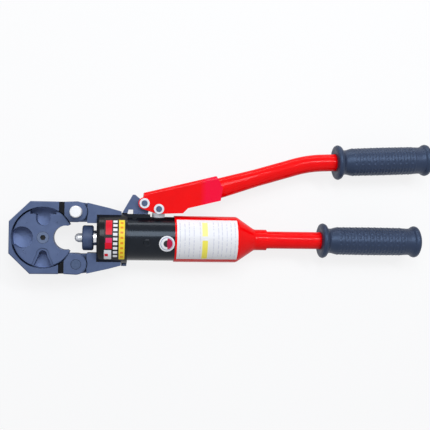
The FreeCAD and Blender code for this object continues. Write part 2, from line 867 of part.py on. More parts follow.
nodes.append(turned("ram_head", [
    ("ram_head_front", "punch_shank_radius + seat_gap"),
    ("ram_head_front", "ram_head_radius - ram_head_bevel"),
    ("ram_head_front + ram_head_bevel", "ram_head_radius"),
    (f"{ram_head_rear} - ram_head_bevel", "ram_head_radius"),
    (ram_head_rear, "ram_head_radius - ram_head_bevel"),
    (ram_head_rear, "ram_thread_radius + seat_gap"),
    (f"{ram_head_rear} - ram_thread_depth - seat_gap", "ram_thread_radius + seat_gap"),
    (f"{ram_head_rear} - ram_thread_depth - seat_gap", "punch_shank_radius + seat_gap"),
]))
punch_nose = "(ram_head_front - punch_length)"
nodes.append(turned("punch", [
    (punch_nose, "0"),
    (punch_nose, "punch_tip_radius"),
    (f"{punch_nose} + punch_cheek_length", "punch_cheek_radius"),
    (f"{punch_nose} + punch_taper_length", "punch_radius"),
    ("ram_head_front - seat_gap", "punch_radius"),
    ("ram_head_front - seat_gap", "punch_shank_radius"),
    ("ram_head_front + punch_shank_length", "punch_shank_radius"),
    ("ram_head_front + punch_shank_length", "0"),
]))
return_room = f"({piston_front} - {chamber_front} - 2 * seat_gap)"
nodes.append(coil("return_spring", "return_coil_radius", "return_wire", return_room,
                  "return_turns", (f"{chamber_front} + seat_gap", "0", "0"), "X"))

# Places of the screws that hold the reservoir sleeve, both on the back
screw_x = f"({barrel_rear} + sleeve_screw_inset)"
screw_low = "(sleeve_radius - sleeve_screw_depth)"
screw_angles = {"lower": "(270 - sleeve_screw_angle)", "upper": "(270 + sleeve_screw_angle)"}


def radial(angle):
    """Turn the X axis to a direction round the tool, counted from +Y towards +Z."""
    return Rotation(Vector(1, 0, 0), number(angle)).multiply(turns["Y"])


def sleeve_screw_holes(owner):
    """Tools for the screw holes of the sleeve or of the barrel under it."""
    holes = []
    low = f"({screw_low} - seat_gap)"
    for side, angle in screw_angles.items():
        hole = rod(f"{owner}_screw_hole_{side}", "sleeve_screw_radius + seat_gap",
                   "2 * sleeve_screw_depth",
                   (screw_x, f"{low} * cos({angle})", f"{low} * sin({angle})"))
        hole.Placement.Rotation = radial(angle).multiply(Rotation(Vector(0, 1, 0), 90))
        holes.append(hole)
    return holes


# Barrel: cylinder in front, pump body behind, with a block on its upper side
barrel = new_body("barrel_blank")
nipple_end = f"({tail_end} + nipple_length)"
spin(barrel, "barrel_turn", [
    (f"{chamber_front} + seat_gap", "0"),
    (f"{chamber_front} + seat_gap", "yoke_thread_radius"),
    (f"{boss_rear} + seat_gap", "yoke_thread_radius"),
    (f"{boss_rear} + seat_gap", "barrel_radius"),
    (barrel_rear, "barrel_radius"),
    (barrel_rear, f"{sleeve_bore} - seat_gap"),
    (tail_end, f"{sleeve_bore} - seat_gap"),
    (tail_end, "nipple_radius"),
    (nipple_end, "nipple_radius"),
    (nipple_end, "0"),
])
block_low = "(bore_radius + block_wall)"
pad(barrel, "barrel_block", "-block_half", "2 * block_half", [[
    (f"{boss_rear} + seat_gap", block_low),
    (f"{boss_rear} + seat_gap", "block_top"),
    (block_rear, "block_top"),
    (block_rear, block_low),
]])
hollow(barrel, "barrel_bore", [
    ("0", "0"),
    ("0", "bore_radius"),
    (bore_end, "bore_radius"),
    (bore_end, "0"),
])
discharge_seat = f"({bore_end} + discharge_depth)"
suction_floor = f"({pump_x} + suction_inset)"
suction_start = f"({suction_floor} + suction_room)"
relief_x = f"({pump_x} - relief_inset)"
relief_y = "-relief_offset"
release_x = f"({boss_rear} + release_inset)"
release_low = "(block_half + running_gap - release_stem_length)"
relief_top = "(barrel_radius - relief_cap_length)"
barrel_tools = [
    rod("release_bore", "release_stem_radius + running_gap",
        "release_stem_length + block_half",
        (release_x, "release_height", f"{release_low} - 2 * release_ball_radius - seat_gap"), "Z"),
    rod("release_face", "release_knob_radius + soft_gap", "barrel_radius",
        (release_x, "release_height", "block_half"), "Z"),
    rod("plunger_bore", "plunger_radius + running_gap", "barrel_radius + plunger_chamber_low",
        (pump_x, "-plunger_chamber_low", "0"), "Y"),
    rod("gland_thread", "gland_neck_radius + seat_gap", "gland_neck_length + barrel_radius",
        (pump_x, "gland_seat - gland_neck_length", "0"), "Y"),
    rod("gland_face", "gland_radius + soft_gap", "barrel_radius", (pump_x, "gland_seat", "0"), "Y"),
    rod("discharge_bore", "valve_bore_radius", f"{discharge_seat} - {bore_end} + seat_gap",
        (f"{bore_end} - seat_gap", "-valve_drop", "0")),
    rod("valve_port", "valve_port_radius", f"{suction_floor} - {bore_end}",
        (bore_end, "-valve_drop", "0")),
    rod("suction_bore", "valve_bore_radius", f"{tail_end} - {suction_floor} + seat_gap",
        (suction_floor, "-valve_drop", "0")),
    rod("nipple_bore", "nipple_radius - nipple_wall", "nipple_length + tail_length",
        (f"{tail_end} - 2 * feed_inset", "0", "0")),
    rod("feed_bore", "valve_port_radius", "valve_drop",
        (f"{tail_end} - feed_inset", "-valve_drop", "0"), "Y"),
    rod("relief_thread", "relief_cap_radius + seat_gap", "2 * relief_cap_length",
        (relief_x, relief_y, relief_top), "Z"),
    rod("relief_bore", "relief_bore_radius", "barrel_radius - relief_bore_low",
        (relief_x, relief_y, "relief_bore_low"), "Z"),
    rod("relief_port", "relief_port_radius", "relief_bore_low + relief_port_radius",
        (relief_x, relief_y, "-relief_port_radius"), "Z"),
    rod("relief_cross", "relief_port_radius", "valve_drop - relief_offset",
        (relief_x, "-valve_drop", "0"), "Y"),
]
nodes.append(cut("pump_barrel", barrel, barrel_tools + sleeve_screw_holes("barrel")))

# Check valves of the pump, each a ball, a spring and what holds them in
ball_gap = "(valve_ball_radius + seat_gap)"
nodes.append(ball("discharge_ball", "valve_ball_radius",
                  (f"{discharge_seat} - {ball_gap}", "-valve_drop", "0")))
retainer_end = f"({bore_end} + valve_retainer_length)"
retainer = rod("discharge_retainer_ring", "valve_bore_radius - seat_gap",
               "valve_retainer_length - seat_gap", (f"{bore_end} + seat_gap", "-valve_drop", "0"))
retainer_hole = rod("discharge_retainer_hole", "valve_port_radius", "2 * valve_retainer_length",
                    (f"{bore_end} - seat_gap", "-valve_drop", "0"))
nodes.append(cut("discharge_retainer", retainer, [retainer_hole]))
nodes.append(coil("discharge_spring", "valve_bore_radius - valve_wire", "valve_wire",
                  f"{discharge_seat} - 2 * {ball_gap} - {retainer_end}", "valve_turns",
                  (retainer_end, "-valve_drop", "0"), "X"))
nodes.append(ball("suction_ball", "valve_ball_radius",
                  (f"{suction_start} - {ball_gap}", "-valve_drop", "0")))
nodes.append(coil("suction_spring", "valve_bore_radius - valve_wire", "valve_wire",
                  f"suction_room - 2 * {ball_gap}", "valve_turns",
                  (suction_floor, "-valve_drop", "0"), "X"))
seat_blank = rod("suction_seat_ring", "valve_bore_radius - seat_gap", "valve_seat_length",
                 (suction_start, "-valve_drop", "0"))
seat_hole = rod("suction_seat_hole", "valve_port_radius", "2 * valve_seat_length",
                (f"{suction_start} - seat_gap", "-valve_drop", "0"))
nodes.append(cut("suction_seat", seat_blank, [seat_hole]))

# Relief valve under its cap on the front of the barrel
cap_top = "(barrel_radius + relief_cap_rise)"
cap_blank = turned("relief_cap_blank", [
    (relief_top, "0"),
    (relief_top, "relief_cap_radius"),
    (f"{cap_top} - relief_cap_rise", "relief_cap_radius"),
    (cap_top, "relief_cap_radius - relief_cap_rise"),
    (cap_top, "0"),
], (relief_x, relief_y, "0"), "Z")
cap_key = hexagon("relief_cap_key", "relief_cap_radius", "2 * relief_key_depth",
                  (relief_x, relief_y, f"{cap_top} - relief_key_depth"), "Z")
nodes.append(cut("relief_cap", cap_blank, [cap_key]))
nodes.append(ball("relief_ball", "relief_ball_radius",
                  (relief_x, relief_y, "relief_bore_low + relief_ball_radius")))
relief_room = f"({relief_top} - relief_bore_low - 2 * relief_ball_radius)"
nodes.append(coil("relief_spring", "relief_bore_radius - relief_wire", "relief_wire", relief_room,
                  "relief_turns",
                  (relief_x, relief_y, "relief_bore_low + 2 * relief_ball_radius"), "Z"))

# Release valve: a stem with a small knob that lets its ball off the seat
knob_face = "(block_half + running_gap)"
release_blank = turned("release_blank", [
    (release_low, "0"),
    (release_low, "release_stem_radius"),
    (knob_face, "release_stem_radius"),
    (knob_face, "release_knob_radius"),
    (f"{knob_face} + release_knob_length", "release_knob_radius"),
    (f"{knob_face} + release_knob_length", "0"),
], (release_x, "release_height", "0"), "Z")
release_slot = doc.addObject("Part::Box", "release_slot")
release_slot.setExpression("Length", bound("4 * release_knob_radius"))
release_slot.setExpression("Width", bound("release_slot_width"))
release_slot.setExpression("Height", bound("release_knob_length"))
put(release_slot, (f"{release_x} - 2 * release_knob_radius",
                   "release_height - release_slot_width / 2",
                   f"{knob_face} + release_knob_length / 2"))
nodes.append(cut("release_valve", release_blank, [release_slot]))
nodes.append(ball("release_ball", "release_ball_radius",
                  (release_x, "release_height", f"{release_low} - release_ball_radius - seat_gap")))

# Gland nut and seal that guide the plunger
gland_low = "(gland_seat - gland_neck_length)"
gland_head = hexagon("gland_head", "gland_radius * sqrt(3)", "gland_height - seat_gap",
                     (pump_x, "gland_seat + seat_gap", "0"), "Y")
gland_neck = rod("gland_neck", "gland_neck_radius", "gland_neck_length",
                 (pump_x, f"{gland_low} + seat_gap", "0"), "Y")
gland_bore = rod("gland_bore", "plunger_radius + running_gap", "barrel_radius + gland_height",
                 (pump_x, "0", "0"), "Y")
seal_low = f"({gland_low} + plunger_seal_inset)"
gland_groove = rod("gland_groove", "plunger_radius + plunger_seal_depth", "plunger_seal_length",
                   (pump_x, seal_low, "0"), "Y")
nodes.append(cut("gland_nut", join("gland_blank", [gland_head, gland_neck]),
                 [gland_bore, gland_groove]))
nodes.append(turned("plunger_seal", [
    (f"{seal_low} + seat_gap", "plunger_radius + running_gap"),
    (f"{seal_low} + seat_gap", "plunger_radius + plunger_seal_depth - seat_gap"),
    (f"{seal_low} + plunger_seal_length - seat_gap",
     "plunger_radius + plunger_seal_depth - seat_gap"),
    (f"{seal_low} + plunger_seal_length - seat_gap", "plunger_radius + running_gap"),
], (pump_x, "0", "0"), "Y"))

# Plunger with a slotted eye for the link pin
eye_low = f"({link_y} - eye_drop)"
eye_high = f"({link_y} + eye_rise)"
shank = rod("plunger_shank", "plunger_radius", "plunger_length - eye_drop / 2",
            (pump_x, f"{link_y} - plunger_length", "0"), "Y")
eye = new_body("plunger_eye")
eye_left = f"({pump_x} - eye_half_width)"
eye_right = f"({pump_x} + eye_half_width)"
pad(eye, "eye_block", "-eye_half_thick", "2 * eye_half_thick", [[
    (eye_left, eye_low),
    (eye_right, eye_low),
    (eye_right, f"{eye_high} - eye_corner"),
    (f"{eye_right} - eye_corner", eye_high),
    (f"{eye_left} + eye_corner", eye_high),
    (eye_left, f"{eye_high} - eye_corner"),
]])
slot_radius = "(pivot_pin_radius + eye_rise_play)"
slot_back = f"({pump_x} - eye_back_play)"
slot_front = f"({pump_x} + eye_play)"
eye_tools = [
    rod("eye_slot_back", slot_radius, "4 * eye_half_thick",
        (slot_back, link_y, "-2 * eye_half_thick"), "Z"),
    rod("eye_slot_front", slot_radius, "4 * eye_half_thick",
        (slot_front, link_y, "-2 * eye_half_thick"), "Z"),
]
eye_slot = doc.addObject("Part::Box", "eye_slot_middle")
eye_slot.setExpression("Length", bound("eye_play + eye_back_play"))
eye_slot.setExpression("Width", bound(f"2 * {slot_radius}"))
eye_slot.setExpression("Height", bound("4 * eye_half_thick"))
put(eye_slot, (slot_back, f"{link_y} - {slot_radius}", "-2 * eye_half_thick"))
nodes.append(cut("plunger", join("plunger_blank", [shank, eye]), eye_tools + [eye_slot]))

# Lug that carries the handle, and its weld beads on the barrel's block
lug = new_body("handle_lug")
lug_base = "(block_top + seat_gap)"
lug_toe = "(boss_radius + seat_gap)"
window_end = f"({boss_rear} + lug_window_length)"
window_top = "(block_top + lug_window_height)"
lug_height = "2 * lug_half"
pad(lug, "lug_plate", "-lug_half", lug_height, [[
    (f"{boss_rear} - lug_foot_length", lug_toe),
    (f"{boss_rear} - seat_gap", lug_toe),
    (f"{boss_rear} + lug_window_slope", window_top),
    (window_end, window_top),
    (window_end, lug_base),
    (f"{block_rear} - lug_rear_inset", lug_base),
    (f"{pivot_x} + lug_round", "pivot_height"),
    (pivot_x, "pivot_height"),
    (f"{pivot_x} - lug_slope_back", "pivot_height + lug_slope_rise"),
    (f"{pivot_x} - lug_apex_back", "pivot_height + lug_apex_rise"),
    (f"{pivot_x} - lug_apex_back - lug_apex_width", "pivot_height + lug_apex_rise"),
]])
pad(lug, "lug_boss", "-lug_half", lug_height, [(pivot_x, "pivot_height", "lug_round")])
pocket(lug, "lug_pin_hole", "lug_half", lug_height, [
    (pivot_x, "pivot_height", "pivot_pin_radius + seat_gap"),
])
nodes.append(lug)

beads = []
for side, sign in (("front", ""), ("back", "-")):
    bead = new_body("lug_weld_" + side)
    pad(bead, "bead_" + side, "0", f"{block_rear} - lug_rear_inset - {window_end}", [[
        (f"{sign}(lug_half + seat_gap)", lug_base),
        (f"{sign}(block_half)", lug_base),
        (f"{sign}(lug_half + seat_gap)", f"{lug_base} + block_half - lug_half"),
    ]])
    put(bead, (window_end, "0", "0"), Rotation(Vector(0, 1, 0), 90))
    beads.append(bead)
nodes.append(group("lug_welds", beads))

# Pins, washers and spacers of the handle
pin_end = "(cheek_half + washer_thick + pivot_pin_rise)"


def handle_pin(label, x, y):
    return turned(label, [
        (f"-{pin_end}", "0"),
        (f"-{pin_end}", "pivot_pin_radius - pivot_pin_bevel"),
        (f"pivot_pin_bevel - {pin_end}", "pivot_pin_radius"),
        (f"{pin_end} - pivot_pin_bevel", "pivot_pin_radius"),
        (pin_end, "pivot_pin_radius - pivot_pin_bevel"),
        (pin_end, "0"),
    ], (x, y, "0"), "Z")


def ring_pair(label, x, y, inner, outer, start, thick):
    """Two equal rings about a pin, one on each side of the middle."""
    rings = []
    for side, low in (("front", start), ("back", f"-({start}) - ({thick})")):
        rings.append(turned(f"{label}_{side}", [
            (low, inner),
            (low, outer),
            (f"{low} + {thick}", outer),
            (f"{low} + {thick}", inner),
        ], (x, y, "0"), "Z"))
    return group(label, rings)


nodes.append(handle_pin("pivot_pin", pivot_x, "pivot_height"))
nodes.append(handle_pin("link_pin", pump_x, link_y))
nodes.append(ring_pair("pivot_washers", pivot_x, "pivot_height", "pivot_pin_radius + seat_gap",
                       "washer_radius", "cheek_half + running_gap", "washer_thick"))
nodes.append(ring_pair("link_washers", pump_x, link_y, "pivot_pin_radius + seat_gap",
                       "washer_radius", "cheek_half + seat_gap", "washer_thick"))
nodes.append(ring_pair("pivot_spacers", pivot_x, "pivot_height", "pivot_pin_radius + seat_gap",
                       "washer_radius", "lug_half + seat_gap",
                       f"{cheek_inner} - lug_half - running_gap - seat_gap"))

# Bracket: sheet folded to a channel that is open towards the barrel
bracket = new_body("handle_bracket")


def from_pivot(reach, rise):
    return (f"{pivot_x} + {reach}", f"pivot_height + {rise}")


strip_slope = "((strip_end_rise - strip_start_rise) / (strip_end_reach + strip_start_back))"
bracket_outline = [
    from_pivot("(-strip_start_back)", "strip_start_rise"),
    from_pivot("(-strip_start_back)", "0"),
    from_pivot("(-cheek_nose * sin(cheek_nose_turn))", "(-cheek_nose * cos(cheek_nose_turn))"),
    from_pivot("cheek_chin_reach", "(-cheek_chin_drop)"),
    from_pivot("cheek_belly_reach", "(-cheek_belly_drop)"),
    from_pivot("cheek_corner_reach", "(-cheek_corner_drop)"),
    from_pivot("cheek_step_reach", "(-cheek_step_drop)"),
    from_pivot("cheek_low_reach", "cheek_low_rise"),
    from_pivot("cheek_rear_reach", "cheek_rear_rise"),
    from_pivot("strip_end_reach", "strip_end_rise"),
]
pad(bracket, "bracket_plate", "-cheek_half", "2 * cheek_half", [bracket_outline])
pad(bracket, "bracket_nose", "-cheek_half", "2 * cheek_half", [
    (pivot_x, "pivot_height", "cheek_nose"),
])


def fold_edge(edge):
    """The two long upper edges, where the sheet is folded."""
    first, last = edge.Vertexes[0].Point, edge.Vertexes[-1].Point
    reach = number("strip_end_reach + strip_start_back")
    return level_edge(edge, first.z) and near(abs(first.x - last.x), reach)


rounding(bracket, "bracket_fold", "sheet_fold_radius", fold_edge)


def strip_inside(reach):
    """Height of the strip's inner face above the pivot, at a reach from it."""
    fall = f"sheet_wall * sqrt(1 + {strip_slope} ^ 2)"
    return f"(strip_start_rise + {strip_slope} * ({reach} + strip_start_back) - {fall})"


far_end = "(cheek_rear_reach + cheek_nose)"
front_end = "(-3 * cheek_nose)"
pocket(bracket, "bracket_inside", cheek_inner, f"2 * {cheek_inner}", [[
    from_pivot(front_end, strip_inside(front_end)),
    from_pivot(front_end, "(-2 * cheek_belly_drop)"),
    from_pivot(far_end, "(-2 * cheek_belly_drop)"),
    from_pivot(far_end, strip_inside(far_end)),
]])
pocket(bracket, "bracket_pin_holes", "cheek_half", "2 * cheek_half", [
    (pivot_x, "pivot_height", "pivot_pin_radius + running_gap"),
    (pump_x, link_y, "pivot_pin_radius + seat_gap"),
])
nodes.append(bracket)

# Moving handle: tube pressed oval in the bracket, with one bend before the grip
tube_start = from_pivot("tube_start_reach", "tube_start_rise")
oval_end = "(oval_length + oval_taper)"


def oval_part(name, shrink):
    """The oval end and its taper to the round tube."""
    sections = []
    for index, (along, high, wide) in enumerate((
        ("0", "oval_half_height", "oval_half_width"),
        ("oval_length", "oval_half_height", "oval_half_width"),
        (oval_end, "tube_radius", "tube_radius"),
    )):
        ellipse = doc.addObject("Part::Ellipse", f"{name}_section_{index}")
        ellipse.setExpression("MajorRadius", bound(f"{high} - {shrink}"))
        ellipse.setExpression("MinorRadius", bound(f"{wide} - {shrink}"))
        put(ellipse, (along, "0", "0"), Rotation(Vector(1, 1, 1), 120))
        sections.append(ellipse)
    doc.recompute()
    loft = doc.addObject("Part::Loft", name)
    loft.Sections = sections
    loft.Solid = True
    loft.Ruled = True
    return loft


oval_shell = cut("oval_shell", oval_part("oval_outer", "0"), [oval_part("oval_inner", "tube_wall")])
pipe = new_body("tube_pipe")
bend_setback = "(tube_bend_radius * tan(tube_bend / 2))"
bend_start = f"(tube_run - {bend_setback})"
bend_end_x = f"({bend_start} + tube_bend_radius * sin(tube_bend))"
bend_end_y = "(tube_bend_radius * (cos(tube_bend) - 1))"
tube_tail = ("(moving_grip_reach + moving_grip_length - grip_end_wall - seat_gap"
             f" - {bend_setback})")
tail_x = f"({bend_end_x} + {tube_tail} * cos(tube_bend))"
tail_y = f"({bend_end_y} - {tube_tail} * sin(tube_bend))"
path = new_sketch(pipe, "tube_path", [])
knots = [(oval_end, "0"), (bend_start, "0"), (bend_end_x, bend_end_y), (tail_x, tail_y)]
knot_at = [Vector(number(x), number(y), 0) for x, y in knots]
bend_angle = math.radians(number("tube_bend"))
bend_circle = Part.Circle(Vector(knot_at[1].x, -number("tube_bend_radius"), 0), Vector(0, 0, 1),
                          number("tube_bend_radius"))
first_run = path.addGeometry(Part.LineSegment(knot_at[0], knot_at[1]))
bend_arc = path.addGeometry(
    Part.ArcOfCircle(bend_circle, math.pi / 2 - bend_angle, math.pi / 2))
last_run = path.addGeometry(Part.LineSegment(knot_at[2], knot_at[3]))
path.addConstraint(Sketcher.Constraint("Coincident", first_run, 2, bend_arc, 2))
path.addConstraint(Sketcher.Constraint("Coincident", bend_arc, 1, last_run, 1))
pin_point(path, first_run, 1, *knots[0])
pin_point(path, first_run, 2, *knots[1])
pin_point(path, last_run, 1, *knots[2])
pin_point(path, last_run, 2, *knots[3])
ring_sketch = new_sketch(pipe, "tube_section", [("0", "0", "tube_radius"),
                                                ("0", "0", "tube_radius - tube_wall")],
                         oval_end, "YZ_Plane")
doc.recompute()
pipe_feature = pipe.newObject("PartDesign::AdditivePipe", "tube_pipe_run")
pipe_feature.Profile = ring_sketch
pipe_feature.Spine = (path, ["Edge1", "Edge2", "Edge3"])
pipe.Tip = pipe_feature
moving_tube = join("moving_tube", [oval_shell, pipe])
put(moving_tube, (*tube_start, "0"), Rotation(Vector(0, 0, 1), number("tube_slope")))
moving_tube.setExpression("Placement.Rotation.Angle", bound("tube_slope"))
nodes.append(moving_tube)

# Grips: rubber sleeves with a flange at each end, closed at the rear


def grip_corners(length):
    body_start = "(grip_flange_length + grip_flange_rounding)"
    rear = f"({length} - grip_end_length)"
    return [
        ("0", "tube_radius + seat_gap"),
        ("0", "grip_flange_radius - grip_flange_rounding"),
        ("grip_flange_rounding", "grip_flange_radius"),
        ("grip_flange_length - grip_flange_rounding", "grip_flange_radius"),
        ("grip_flange_length", "grip_flange_radius - grip_flange_rounding"),
        (body_start, "grip_radius"),
        (f"{rear} - grip_flange_rounding / 2", "grip_radius"),
        (rear, "grip_end_radius"),
        (f"{length} - grip_dome", "grip_end_radius"),
        (f"{length} - grip_dome / 3", "grip_end_radius - grip_dome / 3"),
        (length, "grip_end_radius - grip_dome"),
        (length, "0"),
        (f"{length} - grip_end_wall", "0"),
        (f"{length} - grip_end_wall", "tube_radius + seat_gap"),
    ]


grip_heading = "(tube_slope - tube_bend)"
grip_x = (f"{tube_start[0]} + tube_run * cos(tube_slope)"
          f" + moving_grip_reach * cos({grip_heading})")
grip_y = (f"{tube_start[1]} + tube_run * sin(tube_slope)"
          f" + moving_grip_reach * sin({grip_heading})")
moving_grip = new_body("moving_grip")
spin(moving_grip, "moving_grip_turn", grip_corners("moving_grip_length"))
put(moving_grip, (grip_x, grip_y, "0"), Rotation(Vector(0, 0, 1), number(grip_heading)))
moving_grip.setExpression("Placement.Rotation.Angle", bound(grip_heading))
nodes.append(moving_grip)

fixed_grip = new_body("fixed_grip")
spin(fixed_grip, "fixed_grip_turn", grip_corners("grip_length"))
put(fixed_grip, (grip_start, "0", "0"))
nodes.append(fixed_grip)

# Fixed handle tube in the neck of the reservoir
tube_front = f"({neck_end} - tube_seat_length)"
fixed_tube_end = f"({grip_start} + grip_length - grip_end_wall - seat_gap)"
nodes.append(turned("fixed_tube", [
    (tube_front, "tube_radius - tube_wall"),
    (tube_front, "tube_radius"),
    (fixed_tube_end, "tube_radius"),
    (fixed_tube_end, "tube_radius - tube_wall"),
]))

# Reservoir: outer sleeve, rubber bladder on the barrel's nipple, clamp and filler plug
sleeve = new_body("reservoir_sleeve_blank")
spin(sleeve, "sleeve_turn", [
    (f"{barrel_rear} + seat_gap", sleeve_bore),
    (f"{barrel_rear} + seat_gap", "sleeve_radius"),
    (shoulder_start, "sleeve_radius"),
    (neck_start, "neck_radius"),
    (neck_end, "neck_radius"),
    (neck_end, "tube_radius + seat_gap"),
    (f"{tube_front} - seat_gap", "tube_radius + seat_gap"),
    (f"{shoulder_start} - sleeve_wall / 2", sleeve_bore),
])
rounding(sleeve, "sleeve_shoulder_round", "shoulder_rounding",
         lambda edge: ring_edge(edge, number("sleeve_radius"))
         and near(edge.Vertexes[0].X, number(shoulder_start)))
rounding(sleeve, "sleeve_neck_round", "shoulder_rounding",
         lambda edge: ring_edge(edge, number("neck_radius"))
         and near(edge.Vertexes[0].X, number(neck_start)))
nodes.append(cut("reservoir_sleeve", sleeve, sleeve_screw_holes("sleeve")))
sleeve_screws = []
for side, angle in screw_angles.items():
    screw = turned(f"sleeve_screw_{side}", [
        (screw_low, "0"),
        (screw_low, "sleeve_screw_radius"),
        ("sleeve_radius + seat_gap", "sleeve_screw_radius"),
        ("sleeve_radius + seat_gap", "sleeve_screw_head_radius"),
        ("sleeve_radius + sleeve_screw_head_height", "sleeve_screw_crown_radius"),
        ("sleeve_radius + sleeve_screw_head_height", "0"),
    ], (screw_x, "0", "0"))
    screw.Placement.Rotation = radial(angle)
    sleeve_screws.append(screw)
nodes.append(group("sleeve_screws", sleeve_screws))

bladder_front = f"({tail_end} + seat_gap)"
bag_start = f"({tail_end} + bladder_neck_length)"
bag_end = f"({bag_start} + bladder_length)"
bag_radius = f"({sleeve_bore} - bladder_gap)"
nipple_grip = "(nipple_radius + seat_gap)"
filler_grip = "(filler_radius + seat_gap)"
nodes.append(turned("oil_bladder", [
    (bladder_front, nipple_grip),
    (bladder_front, "bladder_neck_radius"),
    (bag_start, "bladder_neck_radius"),
    (f"{bag_start} + bladder_neck_length", bag_radius),
    (bag_end, bag_radius),
    (f"{bag_end} + bladder_neck_length", "bladder_neck_radius"),
    (f"{bag_end} + bladder_neck_length + filler_length", "bladder_neck_radius"),
    (f"{bag_end} + bladder_neck_length + filler_length", filler_grip),
    (f"{bag_end} + bladder_neck_length", filler_grip),
    (f"{bag_end} + bladder_neck_length - bladder_wall", "bladder_neck_radius - bladder_wall"),
    (f"{bag_end} - bladder_wall", f"{bag_radius} - bladder_wall"),
    (f"{bag_start} + bladder_neck_length + bladder_wall", f"{bag_radius} - bladder_wall"),
    (f"{bag_start} + bladder_wall", nipple_grip),
]))
clamp_start = f"({bladder_front} + bladder_clamp_length / 2)"
nodes.append(turned("bladder_clamp", [
    (clamp_start, "bladder_neck_radius + seat_gap"),
    (clamp_start, "bladder_neck_radius + bladder_clamp_wall"),
    (f"{clamp_start} + bladder_clamp_length", "bladder_neck_radius + bladder_clamp_wall"),
    (f"{clamp_start} + bladder_clamp_length", "bladder_neck_radius + seat_gap"),
]))
filler_start = f"({bag_end} + bladder_neck_length + seat_gap)"
filler_end = f"({filler_start} + filler_length)"
nodes.append(turned("filler_plug", [
    (filler_start, "0"),
    (filler_start, "filler_radius"),
    (filler_end, "filler_radius"),
    (filler_end, "bladder_neck_radius"),
    (f"{filler_end} + bladder_clamp_wall", "bladder_neck_radius"),
    (f"{filler_end} + bladder_clamp_wall", "0"),
]))


# Labels: thin curved sheets on the boss, the barrel and the sleeve

def curved_sheet(label, radius, start, length, span):
    """A thin sheet on a round surface, centred on the front."""
    layers = []
    for name, reach in (("outer", "label_gap + label_thick"), ("inner", "label_gap")):
        layer = doc.addObject("Part::Cylinder", f"{label}_{name}")
        layer.setExpression("Radius", bound(f"{radius} + {reach}"))
        layer.setExpression("Height", bound(length))
        layer.setExpression("Angle", bound(span) if name == "outer" else "360")
        half = Rotation(Vector(0, 0, 1), 180 - number(span) / 2)
        put(layer, (start, "0", "0"), Rotation(Vector(0, 1, 0), 90).multiply(half))
        layers.append(layer)
    return cut(label, layers[0], layers[1:])


nodes.append(curved_sheet("boss_label", "boss_radius", "boss_front + boss_label_inset",
                          "boss_label_length", "boss_label_span"))
nodes.append(curved_sheet("sleeve_label", "sleeve_radius", f"{barrel_rear} + sleeve_label_inset",
                          "sleeve_label_length", "sleeve_label_span"))
badge_x = f"({barrel_rear} - badge_inset)"
badge_sheet = curved_sheet("badge_sheet", "barrel_radius", f"{badge_x} - badge_radius",
                           "2 * badge_radius", "sleeve_label_span")
badge_disc = rod("badge_disc", "badge_radius", "2 * barrel_radius",
                 (badge_x, "-badge_drop", "0"), "Z")
badge = doc.addObject("Part::Common", "badge")
badge.Base = badge_sheet
badge.Tool = badge_disc
badge.Label = "badge"
nodes.append(badge)

# Write the sub-parts
doc.recompute()
os.makedirs("parts", exist_ok=True)
for thing in doc.Objects:
    trouble = {"Invalid", "Error"} & set(thing.State)
    if trouble:
        raise SystemExit(f"{thing.Label} failed: {thing.State}")
for node in nodes:
    shape = node.Shape
    if shape.isNull() or not shape.isValid():
        raise SystemExit(f"{node.Label} has no valid shape")
for node in nodes:
    node.Shape.exportStep(f"parts/{node.Label}.step")
    print(node.Label, len(node.Shape.Solids), round(node.Shape.Volume, 1))
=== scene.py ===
import bmesh
import bpy
import json
import math
import numpy as np
from mathutils import Matrix, Vector


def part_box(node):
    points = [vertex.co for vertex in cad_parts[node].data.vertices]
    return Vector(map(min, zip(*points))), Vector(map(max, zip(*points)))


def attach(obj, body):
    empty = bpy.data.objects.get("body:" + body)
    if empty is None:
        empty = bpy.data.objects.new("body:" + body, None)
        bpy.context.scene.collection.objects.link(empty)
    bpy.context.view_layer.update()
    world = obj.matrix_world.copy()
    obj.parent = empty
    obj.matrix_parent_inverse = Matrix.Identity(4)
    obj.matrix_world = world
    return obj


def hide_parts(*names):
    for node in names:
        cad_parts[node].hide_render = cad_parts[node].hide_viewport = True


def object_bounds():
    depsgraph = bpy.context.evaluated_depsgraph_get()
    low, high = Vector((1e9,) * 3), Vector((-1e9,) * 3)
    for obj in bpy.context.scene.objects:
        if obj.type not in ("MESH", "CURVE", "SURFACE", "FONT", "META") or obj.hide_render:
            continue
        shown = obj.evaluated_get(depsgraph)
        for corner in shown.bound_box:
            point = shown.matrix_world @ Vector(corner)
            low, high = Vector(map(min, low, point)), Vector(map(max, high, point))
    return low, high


# Looks of a hydraulic crimping tool: finishes, grips, weld beads, nest pips and printed films.
# Metres. +X runs from the head to the grips, +Y to the moving handle, +Z is the printed face.

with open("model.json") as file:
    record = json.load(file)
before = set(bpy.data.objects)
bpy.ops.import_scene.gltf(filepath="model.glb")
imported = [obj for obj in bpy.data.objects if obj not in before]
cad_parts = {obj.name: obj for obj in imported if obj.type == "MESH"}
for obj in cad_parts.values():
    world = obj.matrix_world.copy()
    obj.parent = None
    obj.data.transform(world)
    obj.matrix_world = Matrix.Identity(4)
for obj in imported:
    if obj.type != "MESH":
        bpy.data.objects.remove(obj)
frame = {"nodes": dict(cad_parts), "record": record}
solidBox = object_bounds()
nodes = frame["nodes"]
mm = 0.001
print("frame loaded:", len(nodes), "nodes")


# Small helpers for shader nodes

def addNode(tree, kind, values=None, **settings):
    # a shader node; a value that is another node's socket is linked, any other is set
    node = tree.nodes.new("ShaderNode" + kind)
    for key, value in settings.items():
        setattr(node, key, value)
    for key, value in (values or {}).items():
        if isinstance(value, bpy.types.NodeSocket):
            tree.links.new(value, node.inputs[key])
        else:
            node.inputs[key].default_value = value
    return node


def math2(tree, operation, first, second=0.0):
    # the result of one operation on two numbers
    return addNode(tree, "Math", {0: first, 1: second}, operation=operation).outputs[0]


